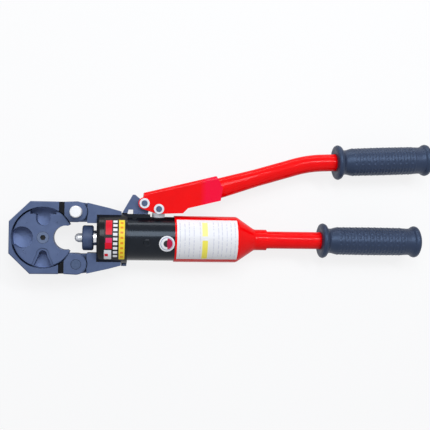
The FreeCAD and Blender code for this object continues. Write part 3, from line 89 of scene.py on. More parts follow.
def blendColour(tree, amount, first, second):
    # the first colour at amount 0, the second at 1, and a straight mix between
    mixer = addNode(tree, "Mix", {"Factor": amount}, data_type="RGBA")
    for socket, value in ((mixer.inputs[6], first), (mixer.inputs[7], second)):
        if isinstance(value, bpy.types.NodeSocket):
            tree.links.new(value, socket)
        else:
            socket.default_value = (*value, 1)
    return mixer.outputs[2]


def ramp(tree, value, low, high, start=0.0, end=1.0):
    # Straight line from (low, start) to (high, end), held beyond both ends.
    values = {"Value": value, "From Min": low, "From Max": high, "To Min": start, "To Max": end}
    return addNode(tree, "MapRange", values).outputs["Result"]


noLowEdge = -1.0


def between(tree, value, low, high, soft=0.00006):
    # 1 where low < value < high, with a soft edge; noLowEdge as low leaves that side open
    rise = ramp(tree, value, low - soft, low + soft)
    fall = ramp(tree, value, high - soft, high + soft, 1.0, 0.0)
    return math2(tree, "MULTIPLY", rise, fall)


def rootOfSquares(tree, first, second):
    # distance from an axis: the root of the sum of the two squares
    squares = [math2(tree, "MULTIPLY", side, side) for side in (first, second)]
    return math2(tree, "SQRT", math2(tree, "ADD", *squares))


def newFinish(name):
    # an empty material, its node tree, its shader and the place on the object
    material = bpy.data.materials.new(name)
    material.use_nodes = True
    tree = material.node_tree
    shader = tree.nodes["Principled BSDF"]
    place = addNode(tree, "TexCoord").outputs["Object"]
    return material, tree, shader, place


def cloud(tree, place, size, detail=3.0):
    # Soft noise whose lumps are about this size in metres.
    return addNode(tree, "TexNoise", {"Vector": place, "Scale": 1 / size, "Detail": detail}).outputs[0]


# how an edge or a gap is told from the open, and the share of each noise that is used
maskLook = {
    "edgeFlat": 0.995, "edgeSharp": 0.88, "edgeSamples": 6,
    "open": 0.62, "closed": 0.18, "openSamples": 8,
}
noiseRange = {"tone": (0.35, 0.65), "edgeWearAndShade": (0.4, 0.6), "gloss": (0.3, 0.7)}


def edgeMask(tree, reach, strength):
    # 1 on an edge and 0 on a flat: how far the rounded normal turns from the true one.
    turned = addNode(tree, "Bevel", {"Radius": reach}, samples=maskLook["edgeSamples"]).outputs["Normal"]
    plain = addNode(tree, "NewGeometry").outputs["Normal"]
    dot = addNode(tree, "VectorMath", {0: turned, 1: plain}, operation="DOT_PRODUCT").outputs["Value"]
    return ramp(tree, dot, maskLook["edgeFlat"], maskLook["edgeSharp"], 0.0, strength)


def paintedShadeMask(tree, reach, strength):
    # 1 deep in a groove or gap and 0 in the open: the mask that lays painted shade.
    samples = maskLook["openSamples"]
    openShare = addNode(tree, "AmbientOcclusion", {"Distance": reach}, samples=samples).outputs["AO"]
    return ramp(tree, openShare, maskLook["open"], maskLook["closed"], 0.0, strength)


def bumpFrom(tree, height, depth, distance=0.0001):
    # the normal, tilted by the slope of the height
    return addNode(tree, "Bump", {"Height": height, "Strength": depth, "Distance": distance}).outputs[0]


# Finishes, each from its own dictionary of values

plainLook = {"specular": 0.5, "tint": (1.0, 1.0, 1.0), "coat": 0.0, "coatRough": 0.1}


def makeFinish(name, look):
    # Colour varies between two tones, takes an edge colour (wear, and painted shade on the ram head) and
    # painted shade in gaps; grain sets gloss and bump.
    look = {**plainLook, **look}
    material, tree, shader, place = newFinish(name)
    patch = cloud(tree, place, look["patchSize"])
    tone = ramp(tree, patch, *noiseRange["tone"])
    colour = blendColour(tree, tone, look["base"], look["second"])
    # painted shade: the gap colour is laid deep in grooves and gaps
    if look.get("hollow"):
        hollow = paintedShadeMask(tree, look["hollowReach"], look["hollow"])
        colour = blendColour(tree, hollow, colour, look["gapShadeColour"])
    # edge colour: wear on most finishes, painted shade on the ram head's edges
    if look.get("edgeWearAndShade"):
        rough = ramp(tree, cloud(tree, place, look["edgeWearAndShadeSize"]), *noiseRange["edgeWearAndShade"])
        mask = math2(tree, "MULTIPLY", edgeMask(tree, look["edgeWearAndShadeReach"], look["edgeWearAndShade"]), rough)
        colour = blendColour(tree, mask, colour, look["edgeWearAndShadeColour"])
    tree.links.new(colour, shader.inputs["Base Color"])
    grain = cloud(tree, place, look["grainSize"])
    gloss = ramp(tree, grain, *noiseRange["gloss"], *look["gloss"])
    tree.links.new(gloss, shader.inputs["Roughness"])
    tree.links.new(bumpFrom(tree, grain, look["bump"], look["bumpHeight"]), shader.inputs["Normal"])
    shader.inputs["Metallic"].default_value = look["metal"]
    shader.inputs["Specular IOR Level"].default_value = look["specular"]
    shader.inputs["Specular Tint"].default_value = (*look["tint"], 1)
    shader.inputs["Coat Weight"].default_value = look["coat"]
    shader.inputs["Coat Roughness"].default_value = look["coatRough"]
    return material


def paintBox(material, box, colour, soft=0.1, within=None):
    # lays a colour over the finish inside a box; each side is (low, high) in millimetres or None,
    # and within is (x, y, radius) of an upright cylinder that the place must lie in too
    tree = material.node_tree
    shader = tree.nodes["Principled BSDF"]
    part = addNode(tree, "SeparateXYZ", {"Vector": addNode(tree, "TexCoord").outputs["Object"]})
    mask = 1.0
    for axis, limits in enumerate(box):
        if limits:
            inside = between(tree, part.outputs[axis], limits[0] * mm, limits[1] * mm, soft * mm)
            mask = math2(tree, "MULTIPLY", inside, mask)
    if within:
        dx = math2(tree, "SUBTRACT", part.outputs[0], within[0] * mm)
        dy = math2(tree, "SUBTRACT", part.outputs[1], within[1] * mm)
        inside = between(tree, rootOfSquares(tree, dx, dy), noLowEdge, within[2] * mm, soft * mm)
        mask = math2(tree, "MULTIPLY", inside, mask)
    before = shader.inputs["Base Color"].links[0].from_socket
    tree.links.new(blendColour(tree, mask, before, colour), shader.inputs["Base Color"])


# In each finish below, the gap colour, weighed by hollow, is painted shade in grooves and gaps.
castPaint = {
    "base": (0.080, 0.114, 0.222), "second": (0.094, 0.132, 0.248), "patchSize": 0.011,
    "hollow": 1.0, "hollowReach": 0.005, "gapShadeColour": (0.001, 0.002, 0.004),
    "edgeWearAndShade": 0.45, "edgeWearAndShadeReach": 0.0007, "edgeWearAndShadeSize": 0.004, "edgeWearAndShadeColour": (0.20, 0.25, 0.38),
    "grainSize": 0.0009, "gloss": (0.48, 0.60), "bump": 0.30, "bumpHeight": 0.00006,
    "metal": 0.0, "specular": 0.20,
}
# the disc's gap colour reaches 1.8 mm: painted shade as a thin dark line along the nest walls
discPaint = dict(castPaint, base=(0.092, 0.130, 0.252), second=(0.106, 0.148, 0.278),
                 hollowReach=0.0018, hollow=0.85)
# Ram head: its near-black edge colour is painted shade where the flanks turn from the light, not wear; its
# gap colour is painted shade too.
ramSteel = {
    "base": (0.048, 0.072, 0.150), "second": (0.064, 0.092, 0.182), "patchSize": 0.006,
    "hollow": 1.0, "hollowReach": 0.004, "gapShadeColour": (0.001, 0.001, 0.003),
    "edgeWearAndShade": 1.0, "edgeWearAndShadeReach": 0.0010, "edgeWearAndShadeSize": 0.003, "edgeWearAndShadeColour": (0.006, 0.007, 0.012),
    "grainSize": 0.0006, "gloss": (0.40, 0.50), "bump": 0.25, "bumpHeight": 0.00004,
    "metal": 0.0, "specular": 0.25,
}
punchSteel = {
    "base": (0.72, 0.73, 0.77), "second": (0.78, 0.79, 0.82), "patchSize": 0.004,
    "hollow": 0.8, "hollowReach": 0.002, "gapShadeColour": (0.05, 0.06, 0.08),
    "grainSize": 0.0004, "gloss": (0.30, 0.40), "bump": 0.10, "bumpHeight": 0.00002,
    "metal": 0.35,
}
pinSteel = {
    "base": (0.048, 0.078, 0.155), "second": (0.066, 0.100, 0.190), "patchSize": 0.004,
    "hollow": 0.9, "hollowReach": 0.002, "gapShadeColour": (0.002, 0.003, 0.006),
    "edgeWearAndShade": 0.4, "edgeWearAndShadeReach": 0.0004, "edgeWearAndShadeSize": 0.002, "edgeWearAndShadeColour": (0.30, 0.36, 0.46),
    "grainSize": 0.0005, "gloss": (0.36, 0.48), "bump": 0.2, "bumpHeight": 0.00003,
    "metal": 0.2, "specular": 0.4,
}
polishedSteel = {
    "base": (0.80, 0.81, 0.85), "second": (0.86, 0.87, 0.90), "patchSize": 0.005,
    "grainSize": 0.0004, "gloss": (0.16, 0.26), "bump": 0.08, "bumpHeight": 0.00002,
    "metal": 0.9,
}
zincSteel = {
    "base": (0.50, 0.52, 0.57), "second": (0.62, 0.64, 0.68), "patchSize": 0.002,
    "hollow": 0.7, "hollowReach": 0.001, "gapShadeColour": (0.04, 0.05, 0.07),
    "grainSize": 0.0006, "gloss": (0.28, 0.42), "bump": 0.15, "bumpHeight": 0.00003,
    "metal": 0.55,
}
springSteel = {
    "base": (0.42, 0.43, 0.46), "second": (0.52, 0.53, 0.57), "patchSize": 0.003,
    "grainSize": 0.0004, "gloss": (0.25, 0.36), "bump": 0.15, "bumpHeight": 0.00003,
    "metal": 1.0,
}
brassMetal = {
    "base": (0.62, 0.43, 0.14), "second": (0.70, 0.50, 0.18), "patchSize": 0.004,
    "grainSize": 0.0004, "gloss": (0.24, 0.34), "bump": 0.12, "bumpHeight": 0.00003,
    "metal": 1.0,
}
sealRubber = {
    "base": (0.010, 0.010, 0.011), "second": (0.016, 0.016, 0.017), "patchSize": 0.004,
    "grainSize": 0.0005, "gloss": (0.42, 0.55), "bump": 0.2, "bumpHeight": 0.00004,
    "metal": 0.0,
}
glossBlack = {
    "base": (0.0040, 0.0046, 0.0070), "second": (0.0060, 0.0068, 0.0100), "patchSize": 0.012,
    "edgeWearAndShade": 0.15, "edgeWearAndShadeReach": 0.0005, "edgeWearAndShadeSize": 0.003, "edgeWearAndShadeColour": (0.05, 0.055, 0.065),
    "grainSize": 0.0022, "gloss": (0.20, 0.27), "bump": 0.05, "bumpHeight": 0.00003,
    "metal": 0.0, "specular": 0.18, "tint": (0.55, 0.75, 1.0), "coat": 0.20, "coatRough": 0.07,
}
glossRed = {
    "base": (0.94, 0.0006, 0.0020), "second": (0.90, 0.0004, 0.0020), "patchSize": 0.018,
    "hollow": 0.5, "hollowReach": 0.003, "gapShadeColour": (0.22, 0.0, 0.0),
    "edgeWearAndShade": 0.2, "edgeWearAndShadeReach": 0.0008, "edgeWearAndShadeSize": 0.005, "edgeWearAndShadeColour": (0.95, 0.08, 0.10),
    "grainSize": 0.0024, "gloss": (0.26, 0.34), "bump": 0.05, "bumpHeight": 0.00003,
    "metal": 0.0, "specular": 0.03, "coat": 0.22, "coatRough": 0.06,
}

finishes = {
    "steel_blue_paint": makeFinish("castBluePaint", castPaint),
    "black_paint": makeFinish("glossBlackPaint", glossBlack),
    "red_paint": makeFinish("glossRedPaint", glossRed),
    "bright_steel": makeFinish("polishedSteel", polishedSteel),
    "dark_steel": makeFinish("blackenedSteel", pinSteel),
    "zinc_plate": makeFinish("zincPlate", zincSteel),
    "spring_steel": makeFinish("springWire", springSteel),
    "valve_brass": makeFinish("turnedBrass", brassMetal),
    "seal_rubber": makeFinish("sealRubber", sealRubber),
}
latchSteel = dict(punchSteel, base=(0.82, 0.83, 0.85), second=(0.87, 0.87, 0.89), metal=0.2)
screwSteel = dict(pinSteel, base=(0.10, 0.14, 0.24), second=(0.13, 0.17, 0.28))
placePaint = {
    # painted shade for the ear grooves and the screw socket
    "paintedShade": (0.002, 0.003, 0.006),
    "grooveX": (-8.15, -1.25), "grooveY": (22.0, 43.9), "grooveZ": (2.0, 0.3),
    # painted light: the nests' floor deep in the pocket is lifted to the brightness of the disc top
    "paintedLightFloor": (0.250, 0.335, 0.600), "webRadius": 38.5, "webZ": (-9.8, -6.9),
    # the crimson colour, with its span and softness, is a painted reflection on the bracket's rounded rear
    "socketHalf": 3.6, "socketZ": (5.0, 0.3), "crimson": (0.93, 0.0006, 0.040), "reflectionX": (168.0, 200.0),
    "reflectionSoft": 4.0,
}


def makeJawFinish():
    # cast paint, with painted shade (near-black) in the two short grooves by the ears, and painted light on
    # the nests' floor
    material = makeFinish("jawPaint", castPaint)
    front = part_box("jaw_frame")[1].z / mm
    low, high = placePaint["grooveY"]
    deep = (placePaint["grooveZ"][0], front - placePaint["grooveZ"][1])
    # painted shade in the groove on each side
    for side in ((low, high), (-high, -low)):
        paintBox(material, (placePaint["grooveX"], side, deep), placePaint["paintedShade"])
    # painted light on the nests' floor inside the pocket
    low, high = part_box("disc_screw")
    pocket = ((low.x + high.x) / 2 / mm, 0.0, placePaint["webRadius"])
    paintBox(material, (None, None, placePaint["webZ"]), placePaint["paintedLightFloor"], within=pocket)
    return material


def makeScrewFinish():
    # blackened steel, with painted shade (near-black) inside the socket
    material = makeFinish("screwSteel", screwSteel)
    low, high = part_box("disc_screw")
    middle, half = (low.x + high.x) / 2 / mm, placePaint["socketHalf"]
    deep, rim = placePaint["socketZ"]
    top = high.z / mm
    socket = ((middle - half, middle + half), (-half, half), (top - deep, top - rim))
    paintBox(material, socket, placePaint["paintedShade"])
    return material


def makeBracketFinish():
    # red paint, turned a little to crimson towards the rear by a painted reflection
    material = makeFinish("bracketPaint", glossRed)
    paintBox(material, (placePaint["reflectionX"], None, None), placePaint["crimson"], placePaint["reflectionSoft"])
    return material


specialFinish = {
    "jaw_frame": makeJawFinish(),
    "disc_screw": makeScrewFinish(),
    "handle_bracket": makeBracketFinish(),
    "latch_pin": makeFinish("latchSteel", latchSteel),
    "ram_head": makeFinish("ramSteel", ramSteel),
    "punch": makeFinish("punchSteel", punchSteel),
    "die_disc": makeFinish("discPaint", discPaint),
    "relief_cap": finishes["black_paint"],
    "release_valve": finishes["black_paint"],
}
print("plain finishes made:", len(finishes) + len(specialFinish))


# The yoke is cast blue, and black where its round boss is

bossPaint = {"front": 37.3 * mm, "radius": 31.75 * mm, "soft": 0.1 * mm}


def makeYokeFinish():
    # Cast paint outside the boss; black paint where x and the distance from the axis are inside it.
    material = makeFinish("yokePaint", castPaint)
    tree = material.node_tree
    shader = tree.nodes["Principled BSDF"]
    place = addNode(tree, "TexCoord").outputs["Object"]
    part = addNode(tree, "SeparateXYZ", {"Vector": place})
    y, z = part.outputs[1], part.outputs[2]
    radius = rootOfSquares(tree, y, z)
    soft = bossPaint["soft"]
    inside = ramp(tree, radius, bossPaint["radius"] - soft, bossPaint["radius"] + soft, 1.0, 0.0)
    behind = ramp(tree, part.outputs[0], bossPaint["front"] - soft, bossPaint["front"] + soft)
    black = math2(tree, "MULTIPLY", inside, behind)
    for socket in ("Base Color", "Roughness"):
        cast = shader.inputs[socket].links[0].from_socket
        if socket == "Base Color":
            mixed = blendColour(tree, black, cast, glossBlack["base"])
        else:
            mixed = addNode(tree, "Mix", {"Factor": black, 2: cast, 3: glossBlack["gloss"][0]}).outputs[0]
        tree.links.new(mixed, shader.inputs[socket])
    return material


# Printed films: plain blocks and lines, with no lettering

def filmPlace(tree, place, radius):
    # Along the tool, and round it as an arc length from the front line, towards +Y.
    part = addNode(tree, "SeparateXYZ", {"Vector": place})
    angle = math2(tree, "ARCTAN2", part.outputs[1], part.outputs[2])
    return part.outputs[0], math2(tree, "MULTIPLY", angle, radius)


def printBlock(tree, colour, along, around, block, ink):
    # Lay ink on the film inside a block given as (x low, x high, arc low, arc high).
    wide = between(tree, along, block[0], block[1])
    tall = between(tree, around, block[2], block[3])
    return blendColour(tree, math2(tree, "MULTIPLY", wide, tall), colour, ink)


def printColumns(tree, colour, along, around, place, look, ink):
    # faint word-like marks in columns round the film: ink where a column, the height and the noise agree
    gap = look["gap"]
    words = ramp(tree, cloud(tree, place, look["word"] * mm, detail=1.0), gap, gap + look["gapSoft"])
    lines = 0.0
    for centre in look["columns"]:
        low, high = (centre - look["columnHalf"]) * mm, (centre + look["columnHalf"]) * mm
        lines = math2(tree, "ADD", between(tree, along, low, high), lines)
    tall = between(tree, around, -look["columnReach"] * mm, look["columnReach"] * mm)
    mask = math2(tree, "MULTIPLY", math2(tree, "MULTIPLY", lines, words), tall)
    return blendColour(tree, math2(tree, "MULTIPLY", mask, look["weight"]), colour, ink)


def finishFilm(tree, shader, place, colour, look):
    # the printed colour on a film whose gloss and slope follow its sag
    tree.links.new(colour, shader.inputs["Base Color"])
    sag = cloud(tree, place, look["sagSize"])
    tree.links.new(bumpFrom(tree, sag, look["sag"]), shader.inputs["Normal"])
    tree.links.new(ramp(tree, sag, *noiseRange["gloss"], *look["gloss"]), shader.inputs["Roughness"])
    shader.inputs["Coat Weight"].default_value = look["coat"]
    shader.inputs["Specular IOR Level"].default_value = look["specular"]


inks = {
    "black": (0.010, 0.010, 0.012), "white": (0.82, 0.82, 0.85), "red": (0.72, 0.004, 0.022),
    "pink": (0.80, 0.030, 0.120), "yellow": (0.92, 0.70, 0.045), "orange": (0.78, 0.26, 0.02),
    "paleYellow": (0.95, 0.84, 0.12), "blue": (0.14, 0.18, 0.42),
    "charcoal": (0.020, 0.020, 0.026), "cream": (0.95, 0.88, 0.30), "crimson": (0.50, 0.010, 0.065),
    "lilac": (0.40, 0.40, 0.56), "paper": (0.86, 0.86, 0.88),
}
filmLook = {"sagSize": 0.006, "sag": 0.06, "gloss": (0.34, 0.44), "coat": 0.0, "specular": 0.22}

bossFilm = {
    "radius": 31.8 * mm,
    "blocks": [
        ((48.6, 56.3, 5.3, 24.7), "red"),
        ((48.6, 56.3, -4.6, 1.3), "pink"),
        ((48.0, 56.3, -12.3, -4.6), "red"),
        ((43.4, 46.4, -3.4, -0.6), "pink"),
        ((43.4, 46.4, -8.2, -5.6), "pink"),
        ((43.4, 46.4, -12.3, -10.2), "red"),
        ((43.5, 55.5, -28.6, -14.0), "white"),
        ((47.4, 51.6, -23.4, -19.2), "red"),
        ((64.4, 71.4, -28.9, 25.4), "yellow"),
    ],
    "dotColumn": {"x": (57.5, 62.6), "first": 24.5, "pitch": 5.7, "tall": 3.5, "count": 9},
    "markColumn": {"x": (66.2, 69.6), "first": 22.0, "pitch": 6.4, "tall": 2.6, "count": 8},
}


def makeBossFilm():
    # black film: plain blocks, then two columns of equal marks, each one pitch below the last
    material, tree, shader, place = newFinish("bossFilm")
    along, around = filmPlace(tree, place, bossFilm["radius"])
    colour = addNode(tree, "RGB")
    colour.outputs[0].default_value = (*inks["black"], 1)
    colour = colour.outputs[0]
    for block, ink in bossFilm["blocks"]:
        colour = printBlock(tree, colour, along, around, [edge * mm for edge in block], inks[ink])
    for column, ink in (("dotColumn", "white"), ("markColumn", "orange")):
        values = bossFilm[column]
        for index in range(values["count"]):
            top = values["first"] - index * values["pitch"]
            block = [edge * mm for edge in (*values["x"], top - values["tall"], top)]
            colour = printBlock(tree, colour, along, around, block, inks[ink])
    finishFilm(tree, shader, place, colour, filmLook)
    return material


sleeveFilm = {
    "radius": 29.3 * mm,
    "bands": [((166.0, 172.8, -27.3, -0.7), "paleYellow"), ((166.0, 172.8, 4.5, 23.3), "cream")],
    "columns": [138.6, 144.6, 150.0, 155.8, 163.5, 180.1, 186.2, 190.8, 196.6, 201.9, 207.0],
    "columnHalf": 0.6, "columnReach": 24.0, "word": 2.2, "gap": 0.44, "gapSoft": 0.04, "weight": 0.42,
    "paperSize": 0.02,
}


def makeSleeveFilm():
    # white film: two yellow bands, and columns of marks that can't be read
    material, tree, shader, place = newFinish("sleeveFilm")
    along, around = filmPlace(tree, place, sleeveFilm["radius"])
    paper = cloud(tree, place, sleeveFilm["paperSize"])
    colour = blendColour(tree, paper, inks["white"], inks["paper"])
    for band, ink in sleeveFilm["bands"]:
        colour = printBlock(tree, colour, along, around, [edge * mm for edge in band], inks[ink])
    colour = printColumns(tree, colour, along, around, place, sleeveFilm, inks["lilac"])
    finishFilm(tree, shader, place, colour, filmLook)
    return material


badgeFilm = {
    "ringOuter": 0.82, "ringInner": 0.76, "sectorOuter": 0.72, "hub": 0.44,
    "sectorHalf": math.radians(84), "soft": 0.01, "turnSoft": 0.02, "paperSize": 0.01,
}


def makeBadgeFilm():
    # White round film, thin blue ring, dark hub, and a plain red sector towards the grips.
    material, tree, shader, place = newFinish("badgeFilm")
    low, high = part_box("badge")
    centre = (low + high) / 2
    radius = (high.x - low.x) / 2
    part = addNode(tree, "SeparateXYZ", {"Vector": place})
    dx = math2(tree, "SUBTRACT", part.outputs[0], centre.x)
    dy = math2(tree, "SUBTRACT", part.outputs[1], centre.y)
    reach = math2(tree, "DIVIDE", rootOfSquares(tree, dx, dy), radius)
    turn = math2(tree, "ABSOLUTE", math2(tree, "ARCTAN2", dy, dx))
    colour = blendColour(tree, cloud(tree, place, badgeFilm["paperSize"]), inks["white"], inks["paper"])
    soft = badgeFilm["soft"]
    ring = between(tree, reach, badgeFilm["ringInner"], badgeFilm["ringOuter"], soft)
    colour = blendColour(tree, ring, colour, inks["blue"])
    inSector = between(tree, turn, noLowEdge, badgeFilm["sectorHalf"], badgeFilm["turnSoft"])
    sector = between(tree, reach, noLowEdge, badgeFilm["sectorOuter"], soft)
    hub = between(tree, reach, noLowEdge, badgeFilm["hub"], soft)
    colour = blendColour(tree, hub, colour, inks["charcoal"])
    colour = blendColour(tree, math2(tree, "MULTIPLY", inSector, sector), colour, inks["crimson"])
    finishFilm(tree, shader, place, colour, filmLook)
    return material


finishes["label_black"] = makeBossFilm()
finishes["label_white"] = makeSleeveFilm()
finishes["badge_film"] = makeBadgeFilm()
print("printed films made")


# Meshes from grids of points

def gridMesh(name, points, closeRound=False):
    # Mesh from an array (rows, columns, 3); the columns may close into rings.
    rows, columns = points.shape[:2]
    steps = columns if closeRound else columns - 1
    row, column = np.meshgrid(np.arange(rows - 1), np.arange(steps), indexing="ij")
    nextColumn = (column + 1) % columns
    faces = np.stack([
        row * columns + column,
        row * columns + nextColumn,
        (row + 1) * columns + nextColumn,
        (row + 1) * columns + column,
    ], axis=-1).reshape(-1, 4)
    mesh = bpy.data.meshes.new(name)
    mesh.from_pydata(points.reshape(-1, 3), [], faces)
    mesh.polygons.foreach_set("use_smooth", np.ones(len(faces), dtype=bool))
    mesh.update()
    piece = bpy.data.objects.new(name, mesh)
    bpy.context.scene.collection.objects.link(piece)
    return piece


def weld(piece, reach=0.000001):
    # Merge the points that lie on each other and turn every face outwards.
    work = bmesh.new()
    work.from_mesh(piece.data)
    bmesh.ops.remove_doubles(work, verts=work.verts, dist=reach)
    bmesh.ops.recalc_face_normals(work, faces=work.faces)
    work.to_mesh(piece.data)
    work.free()
    return piece


fineCount = 4000


def smoothLine(knots, count, smoothing):
    # points along a run of knots (rows of x, y): laid finely, rounded by a moving average that weighs
    # the middle most, then spaced evenly
    knots = np.array(knots, dtype=float)
    lengths = np.concatenate([[0], np.cumsum(np.linalg.norm(np.diff(knots, axis=0), axis=1))])
    fine = np.linspace(0, lengths[-1], fineCount)
    line = np.stack([np.interp(fine, lengths, knots[:, axis]) for axis in (0, 1)], axis=1)
    window = np.hanning(2 * smoothing + 1)
    window /= window.sum()
    padded = np.pad(line, ((smoothing, smoothing), (0, 0)), mode="edge")
    line = np.stack([np.convolve(padded[:, axis], window, mode="valid") for axis in (0, 1)], axis=1)
    travel = np.concatenate([[0], np.cumsum(np.linalg.norm(np.diff(line, axis=0), axis=1))])
    wanted = np.linspace(0, travel[-1], count)
    return np.stack([np.interp(wanted, travel, line[:, axis]) for axis in (0, 1)], axis=1)


# Grips: turned rubber with ribs and small raised dots

gripLook = {
    "tube": 11.05, "flange": 22.6, "flangeWide": 9.5, "neck": 15.9, "belly": 17.9, "rear": 17.3,
    "end": 20.7, "endWide": 13.0, "ribStart": 20.0, "ribEndInset": 22.0, "ribPitch": 8.4,
    "ribHigh": 0.34, "ribWide": 1.8, "dotRows": 20, "dotSize": 1.7, "dotHigh": 0.50,
    "rows": 360, "columns": 182, "smoothing": 34, "axis": 0.0, "crown": 0.45, "shoulder": 0.80,
    "fade": 3.0, "bodyUnder": 1.0,
}
# knots of the outline: a place along the grip and millimetres from it, a radius and millimetres on it
gripKnots = [
    ("face", 5.0, "tube", 0.0), ("face", 0.6, "tube", 0.0), ("face", 0.6, "tube", 2.5),
    ("face", 0.1, "flange", -5.0), ("face", 1.4, "flange", -1.2), ("crown", 0.0, "flange", 0.0),
    ("shoulder", 0.0, "flange", -1.4), ("neck", 0.0, "neck", 2.0), ("neck", 2.5, "neck", 0.0),
    ("neck", 6.0, "neck", 0.0), ("neck", 12.0, "belly", -0.4), ("middle", 0.0, "belly", 0.0),
    ("rear", -14.0, "belly", -0.2), ("rear", -3.0, "rear", 0.0), ("rear", 1.0, "rear", 0.6),
    ("rear", 2.8, "end", -1.0), ("rear", 5.5, "end", 0.0), ("rear", 8.5, "end", -0.8),
    ("end", -2.2, "end", -4.5), ("end", -0.6, "end", -9.5), ("end", 0.0, "axis", 0.0),
]
gripPlaces = {
    "moving_grip": {"start": (340.35, 101.58), "heading": 3.0, "length": 130.0, "body": "handle"},
    "fixed_grip": {"start": (321.7, 0.0), "heading": 0.0, "length": 135.6, "body": "tool_body"},
}


def gripProfile(look, length):
    # each knot lies at its place plus its millimetres along, and at its radius plus its millimetres out
    wide = look["flangeWide"]
    rear = length - look["endWide"]
    along = {
        "face": 0.0, "crown": wide * look["crown"], "shoulder": wide * look["shoulder"], "neck": wide,
        "middle": (wide + rear) / 2, "rear": rear, "end": length,
    }
    return [(along[place] + step, look[radius] + rise) for place, step, radius, rise in gripKnots]


def makeGrip(node, place):
    # Outline turned about the axis; ribs are raised cosines, dots are round domes between ribs.
    look = gripLook
    length = place["length"]
    line = smoothLine(gripProfile(look, length), look["rows"], look["smoothing"])
    along, out = line[:, 0][:, None], line[:, 1][:, None]
    angle = np.linspace(0, 2 * math.pi, look["columns"], endpoint=False)[None, :]
    ribEnd = length - look["ribEndInset"]
    onBody = np.clip((along - look["ribStart"]) / look["fade"], 0, 1)
    onBody = onBody * np.clip((ribEnd - along) / look["fade"], 0, 1)
    onBody = onBody * (out > look["neck"] - look["bodyUnder"])
    phase = (along - look["ribStart"]) / look["ribPitch"]
    toRib = (phase - np.round(phase)) * look["ribPitch"]
    rib = look["ribHigh"] * np.cos(np.clip(toRib / look["ribWide"], -1, 1) * math.pi / 2) ** 2
    toDotRing = (phase - np.floor(phase) - 0.5) * look["ribPitch"]
    dotAngle = angle * look["dotRows"] / (2 * math.pi)
    toDot = (dotAngle - np.round(dotAngle)) * 2 * math.pi * out / look["dotRows"]
    nearness = 1 - (toDotRing ** 2 + toDot ** 2) / look["dotSize"] ** 2
    dots = look["dotHigh"] * np.sqrt(np.clip(nearness, 0, 1))
    radius = (out + onBody * (rib + dots)) * np.ones_like(angle)
    radius[-1, :] = 0
    heading = math.radians(place["heading"])
    side = radius * np.cos(angle)
    x = place["start"][0] + along * math.cos(heading) - side * math.sin(heading)
    y = place["start"][1] + along * math.sin(heading) + side * math.cos(heading)
    z = radius * np.sin(angle)
    piece = gridMesh(node + "Rubber", np.stack([x, y, z], axis=-1) * mm, closeRound=True)
    weld(piece)
    return piece


# the grips' gap colour is painted shade between ribs and dots
gripRubber = {
    "base": (0.0090, 0.0150, 0.0380), "second": (0.0120, 0.0190, 0.0460), "patchSize": 0.020,
    "hollow": 0.5, "hollowReach": 0.002, "gapShadeColour": (0.002, 0.002, 0.004),
    "edgeWearAndShade": 0.10, "edgeWearAndShadeReach": 0.0006, "edgeWearAndShadeSize": 0.004, "edgeWearAndShadeColour": (0.050, 0.064, 0.110),
    "grainSize": 0.0012, "gloss": (0.42, 0.50), "bump": 0.12, "bumpHeight": 0.00003,
    "metal": 0.0, "specular": 0.70, "tint": (0.50, 0.68, 1.0),
}
finishes["grip_rubber"] = makeFinish("gripRubber", gripRubber)
for node, place in gripPlaces.items():
    grip = makeGrip(node, place)
    grip.data.materials.append(finishes["grip_rubber"])
    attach(grip, place["body"])
    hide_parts(node)
print("grips made")


# Weld beads of the lug: overlapping scales in the corner between lug and block

beadLook = {"scale": 1.9, "scaleHigh": 0.22, "rows": 90, "columns": 24, "bulge": 0.30, "blunt": 8}


def makeBead(name, front):
    # A rounded corner section carried along X, its size waving with each scale of the weld.
    low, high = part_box("lug_welds")
    size = high.y - low.y
    rows, columns = beadLook["rows"], beadLook["columns"]
    share = np.linspace(0, 1, rows)[:, None]
    along = low.x + share * (high.x - low.x)
    scale = (along - low.x) / (beadLook["scale"] * mm)
    wave = np.abs(np.sin(math.pi * scale))
    ends = np.sqrt(np.clip(1 - (2 * share - 1) ** beadLook["blunt"], 0, 1))
    reach = size * (1 - beadLook["scaleHigh"] * (1 - wave)) * ends
    half = columns // 2
    arc = np.linspace(0, math.pi / 2, half)
    bow = 1 / (np.cos(arc) + np.sin(arc)) * (1 + beadLook["bulge"] * np.sin(2 * arc))
    outY, outZ = bow * np.sin(arc), bow * np.cos(arc)
    back = np.linspace(0, 1, columns - half + 2)[1:-1]
    inY = np.where(back < 0.5, 1 - 2 * back, 0)
    inZ = np.where(back < 0.5, 0, 2 * back - 1)
    ringY = np.concatenate([outY, inY])[None, :] * reach
    ringZ = np.concatenate([outZ, inZ])[None, :] * reach
    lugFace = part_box("handle_lug")[1].z
    z = (lugFace + ringZ) * (1 if front else -1)
    points = np.stack([along * np.ones_like(ringY), low.y + ringY, z], axis=-1)
    return weld(gridMesh(name, points, closeRound=True))


beads = [makeBead("weldBeadFront", True), makeBead("weldBeadBack", False)]
for bead in beads:
    bead.data.materials.append(finishes["steel_blue_paint"])
    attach(bead, "tool_body")
    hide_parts("lug_welds")
print("weld beads made")


# Plain raised pips beside the nests of the disc, one to four

nestMarks = {
    "high": 0.35, "sunk": 0.2, "radius": 0.85, "pitch": 2.3, "reach": 26.4, "rows": 9, "columns": 28,
    "marks": [(1, 47), (2, 133), (3, 219), (4, 321)],
}


